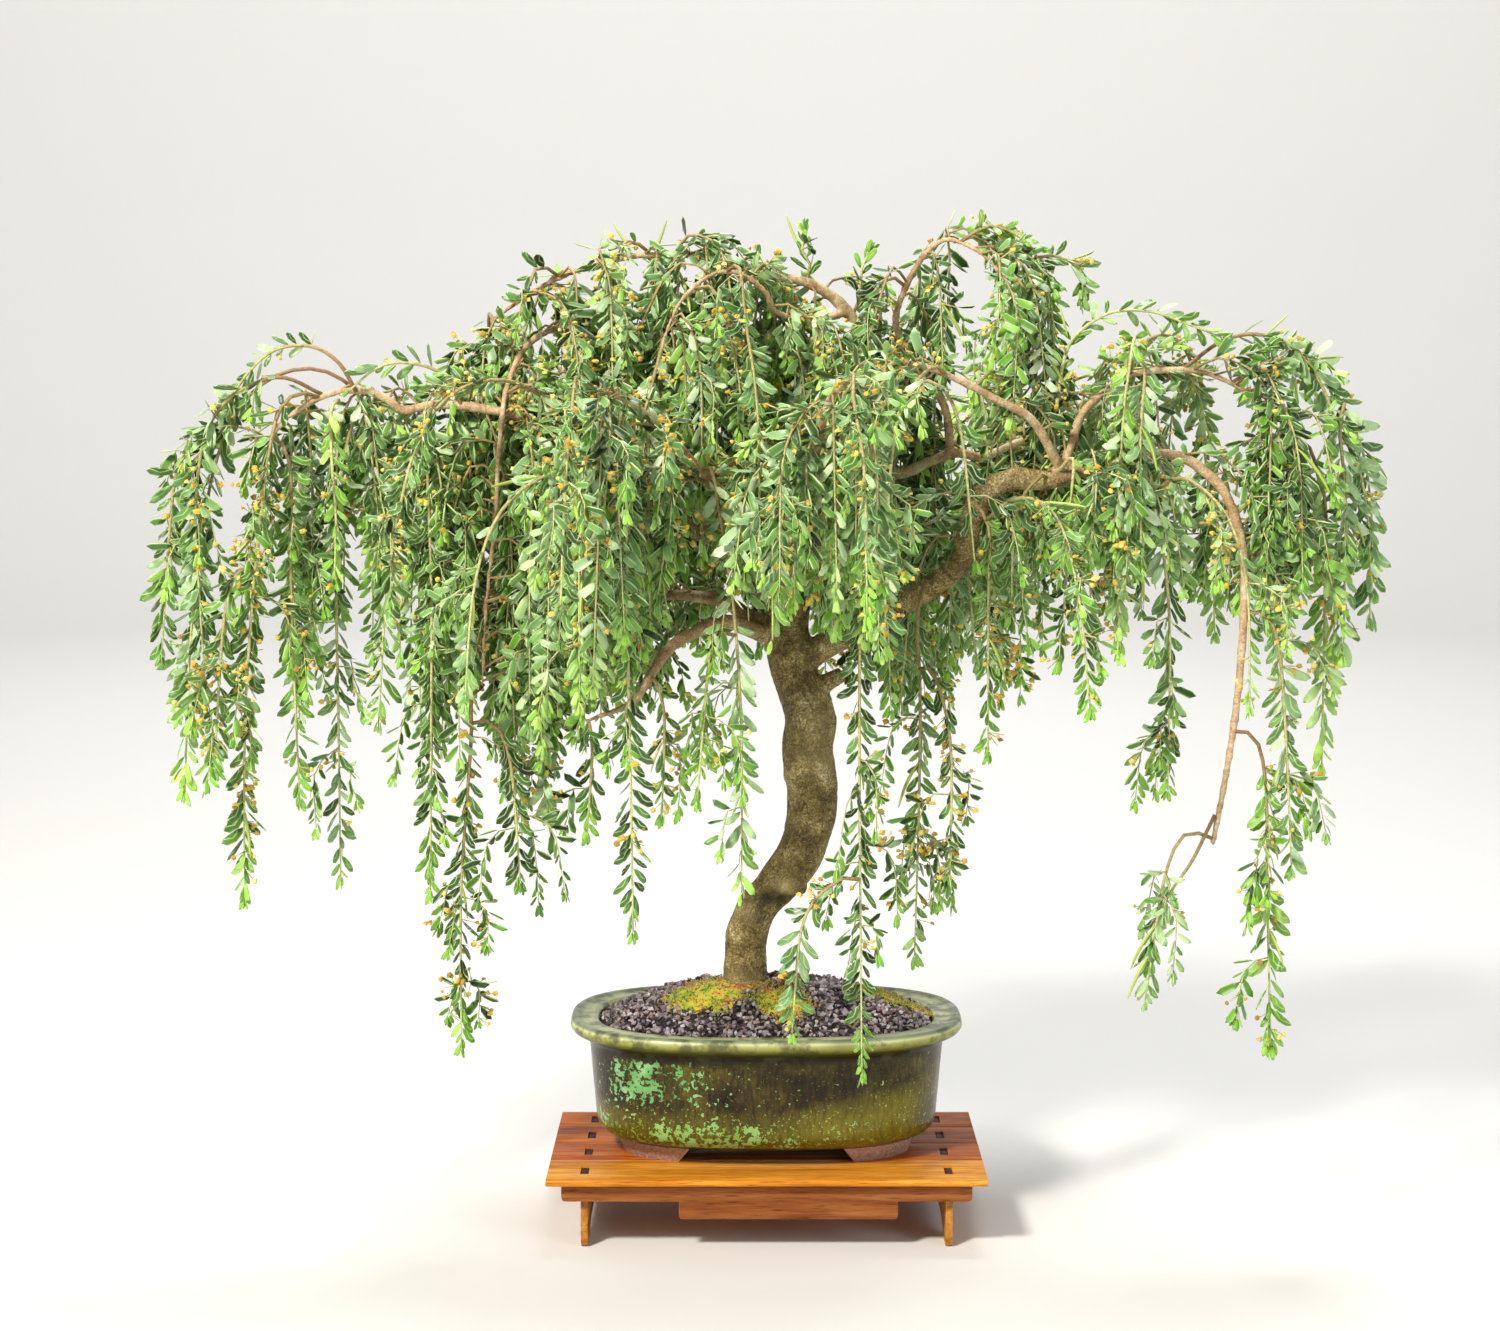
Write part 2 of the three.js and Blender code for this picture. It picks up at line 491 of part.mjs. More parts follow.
// Leafy shoots. Each spray has a name, the limb it grows from, how far along, and its shoots:
// the tip that each hangs to and how far it rises first. A side shoot leaves the first one
// at the fraction given last.
const sprays = [
  ["left_crest", "left", 0.74, [[-412, -78, 331], 30], [[-430, -60, 426], 6, 0.34]],
  ["left_outer", "left", 0.83, [[-365, -112, 261], 10], [[-382, -126, 354], 6, 0.4]],
  ["left_tail", "left", 0.99, [[-329, -90, 326], 2]],
  ["left_middle", "left", 0.70, [[-307, -48, 264], 12], [[-352, 92, 372], 24, 0.16]],
  ["left_inner", "left", 0.53, [[-240, -70, 258], 14], [[-246, 128, 352], 26, 0.16]],
  ["brown_stem_tip", "leftUp", 0.995, [[-218, -80, 147], 1], [[-174, -92, 268], 6, 0.12]],
  ["brown_stem_side", "leftUp", 0.89, [[-156, -66, 312], 8]],
  ["brown_stem_top", "leftUp", 0.62, [[-133, -74, 431], 16], [[-262, -172, 392], 22, 0.16]],
  ["low_left_tip", "lowerFront", 0.995, [[-128, -66, 299], 4]],
  ["low_left_side", "lowerFront", 0.67, [[-75, -60, 311], 6]],
  ["low_back_left", "lowerBack", 0.995, [[-162, 104, 320], 10]],
  ["front_left_long", "frontLeft", 0.82, [[-92, -152, 244], 10], [[-200, -212, 410], 16, 0.16]],
  ["front_left_pair", "frontLeft", 0.50, [[-18, -124, 266], 8], [[-48, -142, 334], 6, 0.42]],
  ["front_left_end", "frontLeft", 0.995, [[-136, -232, 453], 14]],
  ["pot_front", "frontMiddle", 0.75, [[66, -130, 139], 18], [[17, -140, 171], 4, 0.72]],
  ["front_middle_pair", "frontMiddle", 0.61, [[3, -182, 448], 8]],
  ["front_middle_end", "frontMiddle", 0.995, [[63, -260, 471], 14]],
  ["right_low_pair", "right", 0.18, [[106, -64, 209], 6], [[130, -78, 267], 8, 0.25]],
  ["right_bend", "right", 0.31, [[155, -92, 360], 12], [[214, -196, 404], 30, 0.16]],
  ["right_short", "right", 0.47, [[170, -98, 453], 8]],
  ["right_hanging_short", "right", 0.53, [[247, -92, 431], 6]],
  ["right_hanging_long", "right", 0.56, [[281, -96, 334], 8], [[322, -184, 404], 22, 0.16]],
  ["right_tail_left", "right", 0.995, [[268, -92, 183], 12]],
  ["right_tail_long", "right", 0.91, [[357, -94, 151], 6]],
  ["right_tail_upper", "right", 0.82, [[369, -96, 279], 8]],
  ["right_outer", "rightUp", 0.75, [[440, -18, 487], 30], [[412, -48, 424], 6, 0.45], [[392, 98, 400], 24, 0.16]],
  ["right_outer_tail", "rightUp", 0.995, [[402, -30, 343], 4]],
  ["right_front", "rightUp", 0.43, [[257, -120, 492], 26], [[338, 64, 430], 26, 0.16]],
  ["right_back_pair", "rightBack", 0.64, [[79, -158, 439], 12], [[140, -150, 499], 10, 0.2]],
  ["peak_arch", "topRight", 0.77, [[205, -22, 640], 20], [[228, -2, 677], 4, 0.5]],
  ["peak_tail", "topRight", 0.995, [[189, -42, 585], 8]],
  ["peak_left", "topRight", 0.45, [[57, -14, 555], 14]],
  ["arch_tail", "arch", 0.995, [[-81, -108, 441], 2]],
  ["arch_crest", "arch", 0.56, [[-5, -98, 496], 10]],
  ["crown_right", "leader", 0.57, [[-40, 30, 576], 24]],
  ["crown_middle", "leader", 0.77, [[-122, -40, 577], 18]],
  ["crown_left", "leader", 0.90, [[-186, -36, 556], 16]],
  ["crown_end", "leader", 0.995, [[-212, 24, 491], 10]],
  ["upright_left", "leader", 0.51, [[28, 20, 727], 0]],
  ["upright_right", "leader", 0.42, [[74, 26, 712], 0]],
  ["middle_right_end", "middle", 0.995, [[300, 190, 436], 18], [[233, 172, 406], 8, 0.3]],
  ["middle_right", "middle", 0.71, [[182, 128, 411], 18], [[146, 118, 430], 10, 0.12]],
  ["back_right_end", "backRight", 0.995, [[269, 256, 406], 16], [[193, 246, 358], 8, 0.3],
    [[120, 206, 425], 10, 0.12]],
  ["back_middle_end", "backMiddle", 0.995, [[-4, 262, 397], 12], [[50, 240, 358], 8, 0.25],
    [[66, 164, 402], 8, 0.1]],
  ["back_left_end", "backLeft", 0.995, [[-216, 244, 399], 16], [[-260, 168, 438], 10, 0.2]],
  ["back_left", "backLeft", 0.75, [[-133, 214, 337], 14], [[-40, 172, 410], 12, 0.1]],
];

// A shoot rises from its root, arches over and hangs to its tip, with a slight sway.
function shootCurve(root, tip, rise, number) {
  const out = new THREE.Vector3(tip.x - root.x, tip.y - root.y, 0);
  const lift = root.clone().addScaledVector(out, 0.35);
  lift.z += 1.3 * rise + Math.max(0, (tip.z - root.z) / 3);
  const turn = root.clone().addScaledVector(out, 0.98);
  turn.z = Math.max(root.z + 0.7 * rise, tip.z - (tip.z - root.z) / 3);
  const arch = new THREE.CubicBezierCurve3(root, lift, turn, tip);
  const reach = arch.getLength();
  const points = [];
  const count = Math.max(3, Math.round(reach / shootStep));
  for (let i = 0; i <= count; i++) {
    const along = i / count;
    const sway = shootSway * Math.sin(Math.PI * along);
    const point = arch.getPoint(along);
    point.x += sway * Math.sin(7 * along + number);
    point.y += sway * Math.cos(5 * along + 2 * number);
    points.push(point);
  }
  return new THREE.CatmullRomCurve3(points, false, "catmullrom", 0.5);
}

// A stem is drawn in straight steps, and what stands on it is placed on those.
function stemPoint({ curve, steps }, along) {
  const step = Math.min(Math.floor(along * steps), steps - 1);
  const from = curve.getPointAt(step / steps);
  return from.lerp(curve.getPointAt((step + 1) / steps), along * steps - step);
}

let shootNumber = 0;
const plants = sprays.map(([name, limb, at, ...shoots]) => {
  const stems = [];
  for (const [tip, rise, from] of shoots) {
    const root = from ? stemPoint(stems[0], from) : limbCurves[limb].getPoint(at);
    shootNumber += 1;
    const curve = shootCurve(root, vector(tip), rise, shootNumber);
    const reach = curve.getLength();
    const steps = Math.max(4, Math.round(reach / shootStep));
    stems.push({ curve, reach, steps, frames: curve.computeFrenetFrames(steps) });
  }
  return { name, stems };
});

// Balls of space already taken, kept in cells so that a new leaf can look round itself.
const cellSize = 16;
const taken = new Map();

function cellsAround(point, reach) {
  const keys = [];
  const low = [point.x - reach, point.y - reach, point.z - reach].map((v) => Math.floor(v / cellSize));
  const high = [point.x + reach, point.y + reach, point.z + reach].map((v) => Math.floor(v / cellSize));
  for (let x = low[0]; x <= high[0]; x++) {
    for (let y = low[1]; y <= high[1]; y++) {
      for (let z = low[2]; z <= high[2]; z++) keys.push(`${x},${y},${z}`);
    }
  }
  return keys;
}

function take(point, radius, owner) {
  for (const key of cellsAround(point, radius)) {
    if (!taken.has(key)) taken.set(key, []);
    taken.get(key).push({ point, radius, owner });
  }
}

function isFree(point, radius, besides) {
  return cellsAround(point, radius).every((key) => (taken.get(key) ?? []).every((ball) => (
    ball.owner === besides || ball.point.distanceTo(point) > ball.radius + radius + clearance
  )));
}

for (const [name, { radii }] of Object.entries(limbs)) {
  const curve = limbCurves[name];
  const count = Math.ceil(curve.getLength() / 4);
  for (let i = 0; i <= count; i++) {
    take(curve.getPointAt(i / count), between(radii, i / count), name);
  }
}
const stemRadii = [1.8, 1.6, 1.4, 1.1];
for (const { name, stems } of plants) {
  for (const stem of stems) {
    const count = Math.ceil(stem.reach / 4);
    for (let i = 0; i <= count; i++) take(stemPoint(stem, i / count), between(stemRadii, i / count), name);
  }
}

// A blade is a long lens with a ridge along its upper side, narrow where it joins the stem.
function leafGeometry(length) {
  const half = leaf.width / Math.sqrt(3);
  const geometry = new THREE.LatheGeometry([
    new THREE.Vector2(0, -rootSunk), new THREE.Vector2(half, 0.36 * length),
    new THREE.Vector2(0.86 * half, 0.7 * length), new THREE.Vector2(0, length),
  ], 3);
  const position = geometry.attributes.position;
  for (let i = 0; i < position.count; i++) {
    const along = position.getY(i) / length;
    const side = position.getZ(i);
    const height = Math.abs(side) < 1e-6 ? 0 : Math.sign(side) * leaf.thickness / 2;
    position.setZ(i, height - leaf.arch * along * along);
  }
  return geometry;
}

function podGeometry() {
  const geometry = new THREE.LatheGeometry([
    new THREE.Vector2(0, -rootSunk), new THREE.Vector2(pod.radius, 0.3 * pod.length),
    new THREE.Vector2(pod.radius, 0.7 * pod.length), new THREE.Vector2(0, pod.length),
  ], 3);
  const position = geometry.attributes.position;
  for (let i = 0; i < position.count; i++) {
    const along = position.getY(i) / pod.length;
    position.setZ(i, position.getZ(i) - pod.arch * along * along);
  }
  return geometry;
}

// A flower head is a small ball on a thin stalk.
function flowerSolid(place) {
  const middle = flower.stalk + 0.7 * flower.radius;
  const stalk = new THREE.LatheGeometry([
    new THREE.Vector2(0, -rootSunk), new THREE.Vector2(flower.stalkRadius, 0.5 * flower.stalk),
    new THREE.Vector2(0, middle),
  ], 3);
  const ball = new THREE.OctahedronGeometry(flower.radius, 0);
  ball.translate(0, middle, 0);
  return [solidOf(stalk.applyMatrix4(place)), solidOf(ball.applyMatrix4(place))];
}

// Where a leaf or flower stands on a stem: its own Y runs outwards, its Z is its upper side.
// It stands on one of the stem's three faces, turned a little by its twist.
function standOn(shoot, along, face, twist, lean) {
  const root = stemPoint(shoot, along);
  const ring = Math.round(along * shoot.steps);
  const stem = shoot.frames.tangents[ring];
  const spin = (2 * face + 1) * Math.PI / 3 + twist;
  const side = shoot.frames.normals[ring].clone().multiplyScalar(Math.cos(spin));
  side.addScaledVector(shoot.frames.binormals[ring], Math.sin(spin));
  const out = stem.clone().multiplyScalar(Math.cos(lean)).addScaledVector(side, Math.sin(lean));
  const up = side.clone().multiplyScalar(Math.cos(lean)).addScaledVector(stem, -Math.sin(lean));
  const width = out.clone().cross(up);
  return new THREE.Matrix4().makeBasis(width, out, up).setPosition(root);
}

// Asks for room along a leaf or flower. Its foot may lie close to its own stem, and to no other.
function roomFor(place, reach, radius, owner) {
  const spot = (part) => new THREE.Vector3(0, part * reach, 0).applyMatrix4(place);
  if (![0, 0.15].every((part) => isFree(spot(part), radius, owner))) return false;
  const spots = [0.35, 0.65, 0.95].map(spot);
  if (!spots.every((point) => isFree(point, radius))) return false;
  spots.forEach((point) => take(point, radius, owner));
  return true;
}

const random = seeded(31);
const tries = 9;

function growOn(stem, owner, parts) {
  const leaves = Math.max(5, Math.round(stem.reach / leaf.every));
  const flowers = Math.round(stem.reach / flower.every);
  for (let i = 0; i < leaves; i++) {
    const along = THREE.MathUtils.lerp(leaf.first, leaf.last, i / (leaves - 1));
    for (let attempt = 0; attempt < tries; attempt++) {
      const length = leaf.length * (0.85 + 0.25 * random());
      const place = standOn(stem, along, i + attempt, random() - 0.5, leaf.lean);
      if (!roomFor(place, length, leaf.width * 0.45, owner)) continue;
      parts.push(solidOf(leafGeometry(length).applyMatrix4(place)));
      break;
    }
  }
  for (let i = 0; i < flowers; i++) {
    const along = THREE.MathUtils.lerp(flower.first, flower.last, (i + random()) / flowers);
    for (let attempt = 0; attempt < tries; attempt++) {
      const place = standOn(stem, along, i + attempt, random() - 0.5, flower.lean);
      if (!roomFor(place, flower.stalk + 2 * flower.radius, flower.radius, owner)) continue;
      parts.push(...flowerSolid(place));
      break;
    }
  }
}

// A three-sided stem, joined from straight stretches, so that its wall stays whole at a tight turn.
function stemSolid(stem) {
  const rings = [];
  for (let step = 0; step <= stem.steps; step++) {
    const radius = between(stemRadii, step / stem.steps);
    rings.push([0, 1, 2].map((corner) => {
      const point = stemPoint(stem, step / stem.steps);
      point.addScaledVector(stem.frames.normals[step], radius * Math.cos(corner * 2 * Math.PI / 3));
      point.addScaledVector(stem.frames.binormals[step], radius * Math.sin(corner * 2 * Math.PI / 3));
      return point.toArray();
    }));
  }
  const stretches = rings.slice(1).map((ring, step) => wasm.Manifold.hull([...rings[step], ...ring]));
  return wasm.Manifold.union(stretches).simplify(shortestEdge);
}

plants.forEach(({ name, stems }, number) => {
  const parts = [];
  for (const stem of stems) {
    parts.push(stemSolid(stem));
    growOn(stem, name, parts);
  }
  if (number % pod.everySpray === 0) {
    const place = standOn(stems[0], pod.along, number, 0, pod.lean);
    if (roomFor(place, pod.length, pod.radius, name)) parts.push(solidOf(podGeometry().applyMatrix4(place)));
  }
  const spray = wasm.Manifold.union(parts).subtract(woodRoom);
  addPiece(`spray_${name}`, mainBody(spray), colours.leaf, 0.55);
});

export default model;
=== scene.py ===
import math
import random
from functools import partial

import bmesh
import bpy
from mathutils import Matrix, Vector, noise
from mathutils.kdtree import KDTree


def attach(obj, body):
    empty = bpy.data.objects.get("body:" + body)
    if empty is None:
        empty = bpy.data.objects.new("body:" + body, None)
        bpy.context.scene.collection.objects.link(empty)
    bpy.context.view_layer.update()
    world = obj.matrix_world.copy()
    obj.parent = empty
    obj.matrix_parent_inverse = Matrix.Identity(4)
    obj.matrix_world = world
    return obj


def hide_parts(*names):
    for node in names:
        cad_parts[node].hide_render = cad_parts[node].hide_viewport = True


# A weeping wattle in an oval pot on a slatted stand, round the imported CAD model.
# Tables of places are in millimetres; mm turns them into the scene's metres.
mm = 0.001

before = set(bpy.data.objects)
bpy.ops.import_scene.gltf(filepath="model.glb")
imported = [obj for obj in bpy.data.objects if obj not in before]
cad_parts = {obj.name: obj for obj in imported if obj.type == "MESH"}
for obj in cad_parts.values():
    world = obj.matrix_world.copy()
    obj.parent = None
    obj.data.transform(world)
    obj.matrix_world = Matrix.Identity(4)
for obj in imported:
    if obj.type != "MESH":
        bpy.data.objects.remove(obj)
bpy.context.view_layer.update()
print("CAD model loaded")


def linear(code):
    # sRGB hex to the linear values that a shader wants; a number is a plain grey level
    if not isinstance(code, str):
        return [code, code, code, 1]
    parts = [int(code[i:i + 2], 16) / 255 for i in (1, 3, 5)]
    return [part / 12.92 if part <= 0.04045 else ((part + 0.055) / 1.055) ** 2.4 for part in parts] + [1]


def outputOf(node):
    # The output that a link takes: a mix's colour, an attribute's number, else the first one
    return node.outputs[2 if node.bl_idname in ("ShaderNodeMix", "ShaderNodeAttribute") else 0]


def addNode(tree, kind, inputs=None, stops=None, **settings):
    # One node: an input is a value, a hex colour, or a node or an output to link from, and stops are
    # a ramp's places and colours
    node = tree.nodes.new("ShaderNode" + kind)
    for name, value in settings.items():
        setattr(node, name, value)
    for name, value in (inputs or {}).items():
        value = outputOf(value) if isinstance(value, bpy.types.Node) else value
        if isinstance(value, bpy.types.NodeSocket):
            tree.links.new(value, node.inputs[name])
        else:
            node.inputs[name].default_value = linear(value) if isinstance(value, str) else value
    if stops:
        ramp = node.color_ramp.elements
        ramp.remove(ramp[1])
        ramp[0].position, ramp[0].color = stops[0][0], linear(stops[0][1])
        for place, code in stops[1:]:
            ramp.new(place).color = linear(code)
    return node


def newMaterial(name, values):
    # A Principled material, what adds a node to it, and the coordinates of the piece itself
    material = bpy.data.materials.new(name)
    material.use_nodes = True
    for socket, value in values.items():
        material.node_tree.nodes["Principled BSDF"].inputs[socket].default_value = value
    add = partial(addNode, material.node_tree)
    return material, add, add("TexCoord").outputs["Object"]


def layered(add, colour, *layers):
    # Lays colours over one another, each by its factor; a third value says how, else it covers
    for factor, layer, *how in layers:
        colour = add("Mix", {"Factor": factor, 6: colour, 7: layer}, data_type="RGBA",
                     blend_type=how[0] if how else "MIX")
    return colour


def surfaced(material, colour, height=None, strength=0, depth=0):
    # Links the colour and, where there is a height, relief of that depth in millimetres
    tree = material.node_tree
    shader = tree.nodes["Principled BSDF"]
    tree.links.new(outputOf(colour), shader.inputs["Base Color"])
    if height:
        relief = addNode(tree, "Bump", {"Height": height, "Strength": strength, "Distance": depth * mm})
        tree.links.new(outputOf(relief), shader.inputs["Normal"])
    return material


def newMesh():
    # Every part of the plant has an age, 0 old to 1 new, and a chance tint, so copies can be mixed
    bm = bmesh.new()
    bm.verts.layers.float.new("age")
    bm.verts.layers.float.new("tint")
    return bm


def asMesh(bm, name, smooth=True, finish=None):
    # Ends a bmesh as a mesh; with None its faces keep the smoothing or the finish that they have
    for face in bm.faces:
        if smooth is not None:
            face.smooth = smooth
        if finish is not None:
            face.material_index = finish
    mesh = bpy.data.meshes.new(name)
    bm.to_mesh(mesh)
    bm.free()
    return mesh


def putInScene(name, data):
    made = bpy.data.objects.new(name, data)
    bpy.context.scene.collection.objects.link(made)
    return made


def addPiece(name, mesh, materials, replaced=()):
    # A finished piece at the origin that rides with the part and takes the finishes it is given
    piece = putInScene(name, mesh)
    for material in materials:
        mesh.materials.append(material)
    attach(piece, "root")
    if replaced:
        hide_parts(*replaced)


def wholeOf(bm):
    return bm.verts[:] + bm.edges[:] + bm.faces[:]


def roundEdges(bm, sharper, offset, segments):
    # Rounds each edge that is sharper than an angle in degrees
    sharp = [e for e in bm.edges if e.is_manifold and e.calc_face_angle() > math.radians(sharper)]
    bmesh.ops.bevel(bm, geom=sharp, offset=offset * mm, offset_type="OFFSET", affect="EDGES",
                    segments=segments, profile=0.5, material=-1, clamp_overlap=True)


def spun(bm, points, steps, closed=False):
    # Spins a profile of (across, up) points in metres a full turn about the upright axis
    verts = [bm.verts.new((x, 0, z)) for x, z in points]
    pairs = list(zip(verts, verts[1:])) + ([(verts[-1], verts[0])] if closed else [])
    edges = [bm.edges.new(pair) for pair in pairs]
    bmesh.ops.spin(bm, geom=verts + edges, cent=(0, 0, 0), axis=(0, 0, 1), angle=2 * math.pi,
                   steps=steps, use_merge=True, dvec=(0, 0, 0))


def addCopy(bm, template):
    # Adds the template's mesh and gives back its new vertices
    start = len(bm.verts)
    bm.from_mesh(template)
    bm.verts.ensure_lookup_table()
    return bm.verts[start:]


def putCopy(bm, template, matrix, age, tint):
    ages, tints = bm.verts.layers.float["age"], bm.verts.layers.float["tint"]
    for vert in addCopy(bm, template):
        vert.co = matrix @ vert.co
        vert[ages], vert[tints] = age, tint


def pointing(place, along):
    # The matrix that stands an upright shape at a place, along a direction
    return Matrix.Translation(place) @ along.to_track_quat("Z", "Y").to_matrix().to_4x4()


def threeOf(draw, *limits):
    # A vector of three random draws
    return Vector([draw(*limits) for _ in range(3)])


def treeOf(places):
    # A tree that finds the place nearest to a point
    tree = KDTree(len(places))
    for i, place in enumerate(places):
        tree.insert(place, i)
    tree.balance()
    return tree


def clamp(value, low=0, high=1):
    return min(max(value, low), high)


def between(values, along):
    at = clamp(along) * (len(values) - 1)
    low = min(int(at), len(values) - 2)
    return values[low] + (values[low + 1] - values[low]) * (at - low)


def tableAt(pairs, x):
    # Reads a list of (place, value) pairs as a broken line
    if x <= pairs[0][0]:
        return pairs[0][1]
    for (x0, y0), (x1, y1) in zip(pairs, pairs[1:]):
        if x <= x1:
            return y0 + (y1 - y0) * (x - x0) / (x1 - x0)
    return pairs[-1][1]


def curvePoint(points, along):
    # The same curve through points that the CAD source draws
    at = clamp(along) * (len(points) - 1)
    i = min(int(at), len(points) - 2)
    w = at - i
    p1, p2 = points[i], points[i + 1]
    p0 = points[i - 1] if i else 2 * p1 - p2
    p3 = points[i + 2] if i + 2 < len(points) else 2 * p2 - p1
    t1, t2 = (p2 - p0) / 2, (p3 - p1) / 2
    return p1 + t1 * w + (3 * p2 - 3 * p1 - 2 * t1 - t2) * w * w + (2 * p1 - 2 * p2 + t1 + t2) * w ** 3


def spacedLine(points, step):
    # Points a step apart along the curve, with a frame at each that turns as little as it can
    fine = [curvePoint(points, i / 200) for i in range(201)]
    reach = [0]
    for a, b in zip(fine, fine[1:]):
        reach.append(reach[-1] + (b - a).length)
    count = max(3, round(reach[-1] / step))
    line, i = [], 0
    for k in range(count + 1):
        target = reach[-1] * k / count
        while i < 199 and reach[i + 1] < target:
            i += 1
        span = max(reach[i + 1] - reach[i], 1e-9)
        line.append(fine[i].lerp(fine[i + 1], (target - reach[i]) / span))
    frames = []
    side = (line[1] - line[0]).orthogonal()
    for k in range(count + 1):
        tangent = (line[min(k + 1, count)] - line[max(k - 1, 0)]).normalized()
        side = (side - tangent * side.dot(tangent)).normalized()
        frames.append((tangent, side, tangent.cross(side)))
    return {"line": line, "frames": frames, "reach": reach[-1], "step": reach[-1] / count}


def alongLine(path, distance):
    at = clamp(distance / path["step"], 0, len(path["line"]) - 1.001)
    i = int(at)
    return path["line"][i].lerp(path["line"][i + 1], at - i), path["frames"][i]


# Camera at the photograph's place: eye a little above the crown, looking down a few degrees
cameraView = {"lens": 68.87, "sensor": 36, "place": (-12.01, -2088.8, 631.03), "tilt": 5.99}


def makeCamera():
    data = bpy.data.cameras.new("camera")
    data.lens, data.sensor_width = cameraView["lens"], cameraView["sensor"]
    data.clip_start, data.clip_end = 0.05, 60
    camera = putInScene("camera", data)
    camera.location = Vector(cameraView["place"]) * mm
    camera.rotation_euler = (math.radians(90 - cameraView["tilt"]), 0, 0)
    bpy.context.scene.camera = camera


# Studio: a pale floor that curves up into a round wall far off, open to the sky light above
studio = {"floorRadius": 5.0, "cornerRadius": 1.5, "wallHeight": 4.0, "paint": "#E4E3E0",
          "sides": 72, "sky": "#F4F6FA", "skyStrength": 0.25}
lamps = {  # name: place and aim in metres, size in metres, power in watts, colour
    "keyLamp": ((-1.5, -2.2, 2.6), (0, 0, 0.40), 0.55, 150, "#FFF8EE"),
    "fillLamp": ((2.2, -2.1, 1.3), (0, 0, 0.35), 1.4, 22, "#F2F6FF"),
    "topLamp": ((0.3, 0.7, 2.8), (0, 0, 0.45), 1.0, 60, "#FFFFFF"),
    "wallLamp": ((0, 2.6, 3.4), (0, 6.5, 1.2), 2.4, 110, "#FFFFFF"),
}


def makeStudio():
    bm = bmesh.new()
    r, c, h = studio["floorRadius"], studio["cornerRadius"], studio["wallHeight"]
    corner = [(r + c * math.sin(a), c - c * math.cos(a)) for a in [math.radians(15 * i) for i in range(7)]]
    spun(bm, [(0, 0), (r / 2, 0), *corner, (r + c, h)], studio["sides"])
    bmesh.ops.remove_doubles(bm, verts=bm.verts, dist=1e-5)
    bmesh.ops.recalc_face_normals(bm, faces=bm.faces)
    floor = putInScene("floor", asMesh(bm, "floor"))
    paint = newMaterial("mattePaint", {
        "Base Color": linear(studio["paint"]), "Roughness": 0.9, "Specular IOR Level": 0.2})[0]
    floor.data.materials.append(paint)
    for name, (place, aim, size, power, colour) in lamps.items():
        data = bpy.data.lights.new(name, "AREA")
        data.shape, data.size, data.energy, data.color = "DISK", size, power, linear(colour)[:3]
        lamp = putInScene(name, data)
        lamp.location = place
        lamp.rotation_euler = (Vector(aim) - Vector(place)).to_track_quat("-Z", "Y").to_euler()
    world = bpy.data.worlds.new("sky")
    world.use_nodes = True
    sky = world.node_tree.nodes["Background"].inputs
    sky["Color"].default_value = linear(studio["sky"])
    sky["Strength"].default_value = studio["skyStrength"]
    bpy.context.scene.world = world
    bpy.context.scene.view_settings.view_transform = "Standard"


makeCamera()
makeStudio()
print("camera and studio made")

# Stand: varnished hardwood boards, made from the CAD boards with their edges rounded over
boards = {
    "slat_front": "gold", "slat_second": "red", "slat_third": "red", "slat_back": "red",
    "leg_left": "edge", "leg_right": "edge", "apron_front": "brown", "apron_back": "brown",
}
boardEdge = {"round": 0.45, "segments": 2, "sharper": 30, "shadedFrom": 40, "tenonFrom": 49}
timberTones = {  # dark, middle and light of the grain, and the axis it runs along, 0 for x and 1 for y
    "gold": ("#9A5410", "#D4861E", "#EFAE48", 0),
    "red": ("#6E2A0A", "#B05614", "#D4802A", 0),
    "brown": ("#6A3414", "#8E5022", "#AC6E3C", 0),
    "edge": ("#7A4614", "#B8782C", "#D8A048", 1),
}
timberGrain = {  # how many waves to the metre along and across, detail, roughness and distortion
    "figure": (9, 160, 5, 0.6, 0.4),
    "pores": (60, 1400, 2, 0.5, 0),
}


def timber(name, dark, middle, light, grainAxis):
    # Varnished hardwood: long fine grain, darker pores and a satin coat
    material, add, place = newMaterial(name, {
        "Roughness": 0.5, "Specular IOR Level": 0.15, "Coat Weight": 0.06, "Coat Roughness": 0.25})
    grain = []
    for along, across, detail, rough, distortion in timberGrain.values():
        stretched = add("Mapping", {
            "Vector": place, "Scale": [along if axis == grainAxis else across for axis in range(3)]})
        grain.append(add("TexNoise", {
            "Vector": stretched, "Scale": 1, "Detail": detail, "Roughness": rough,
            "Distortion": distortion}))
    figure = add("ValToRGB", {"Fac": grain[0]}, [(0.28, dark), (0.48, middle), (0.72, light)])
    pores = add("ValToRGB", {"Fac": grain[1]}, [(0.30, "#6A6A6A"), (0.46, "#FFFFFF")])
    layers = [(0.7, pores, "MULTIPLY")]
    if name == "timberEdge":
        # End grain, on the tenon ends that show in the slats, drinks the varnish and goes dark
        height = add("SeparateXYZ", {"Vector": place}).outputs["Z"]
        tenon = add("Math", {0: height, 1: boardEdge["tenonFrom"] * mm}, operation="GREATER_THAN")
        layers.append((tenon, "#2A1006"))
    return surfaced(material, layered(add, figure, *layers), grain[1], 0.25, 0.15)


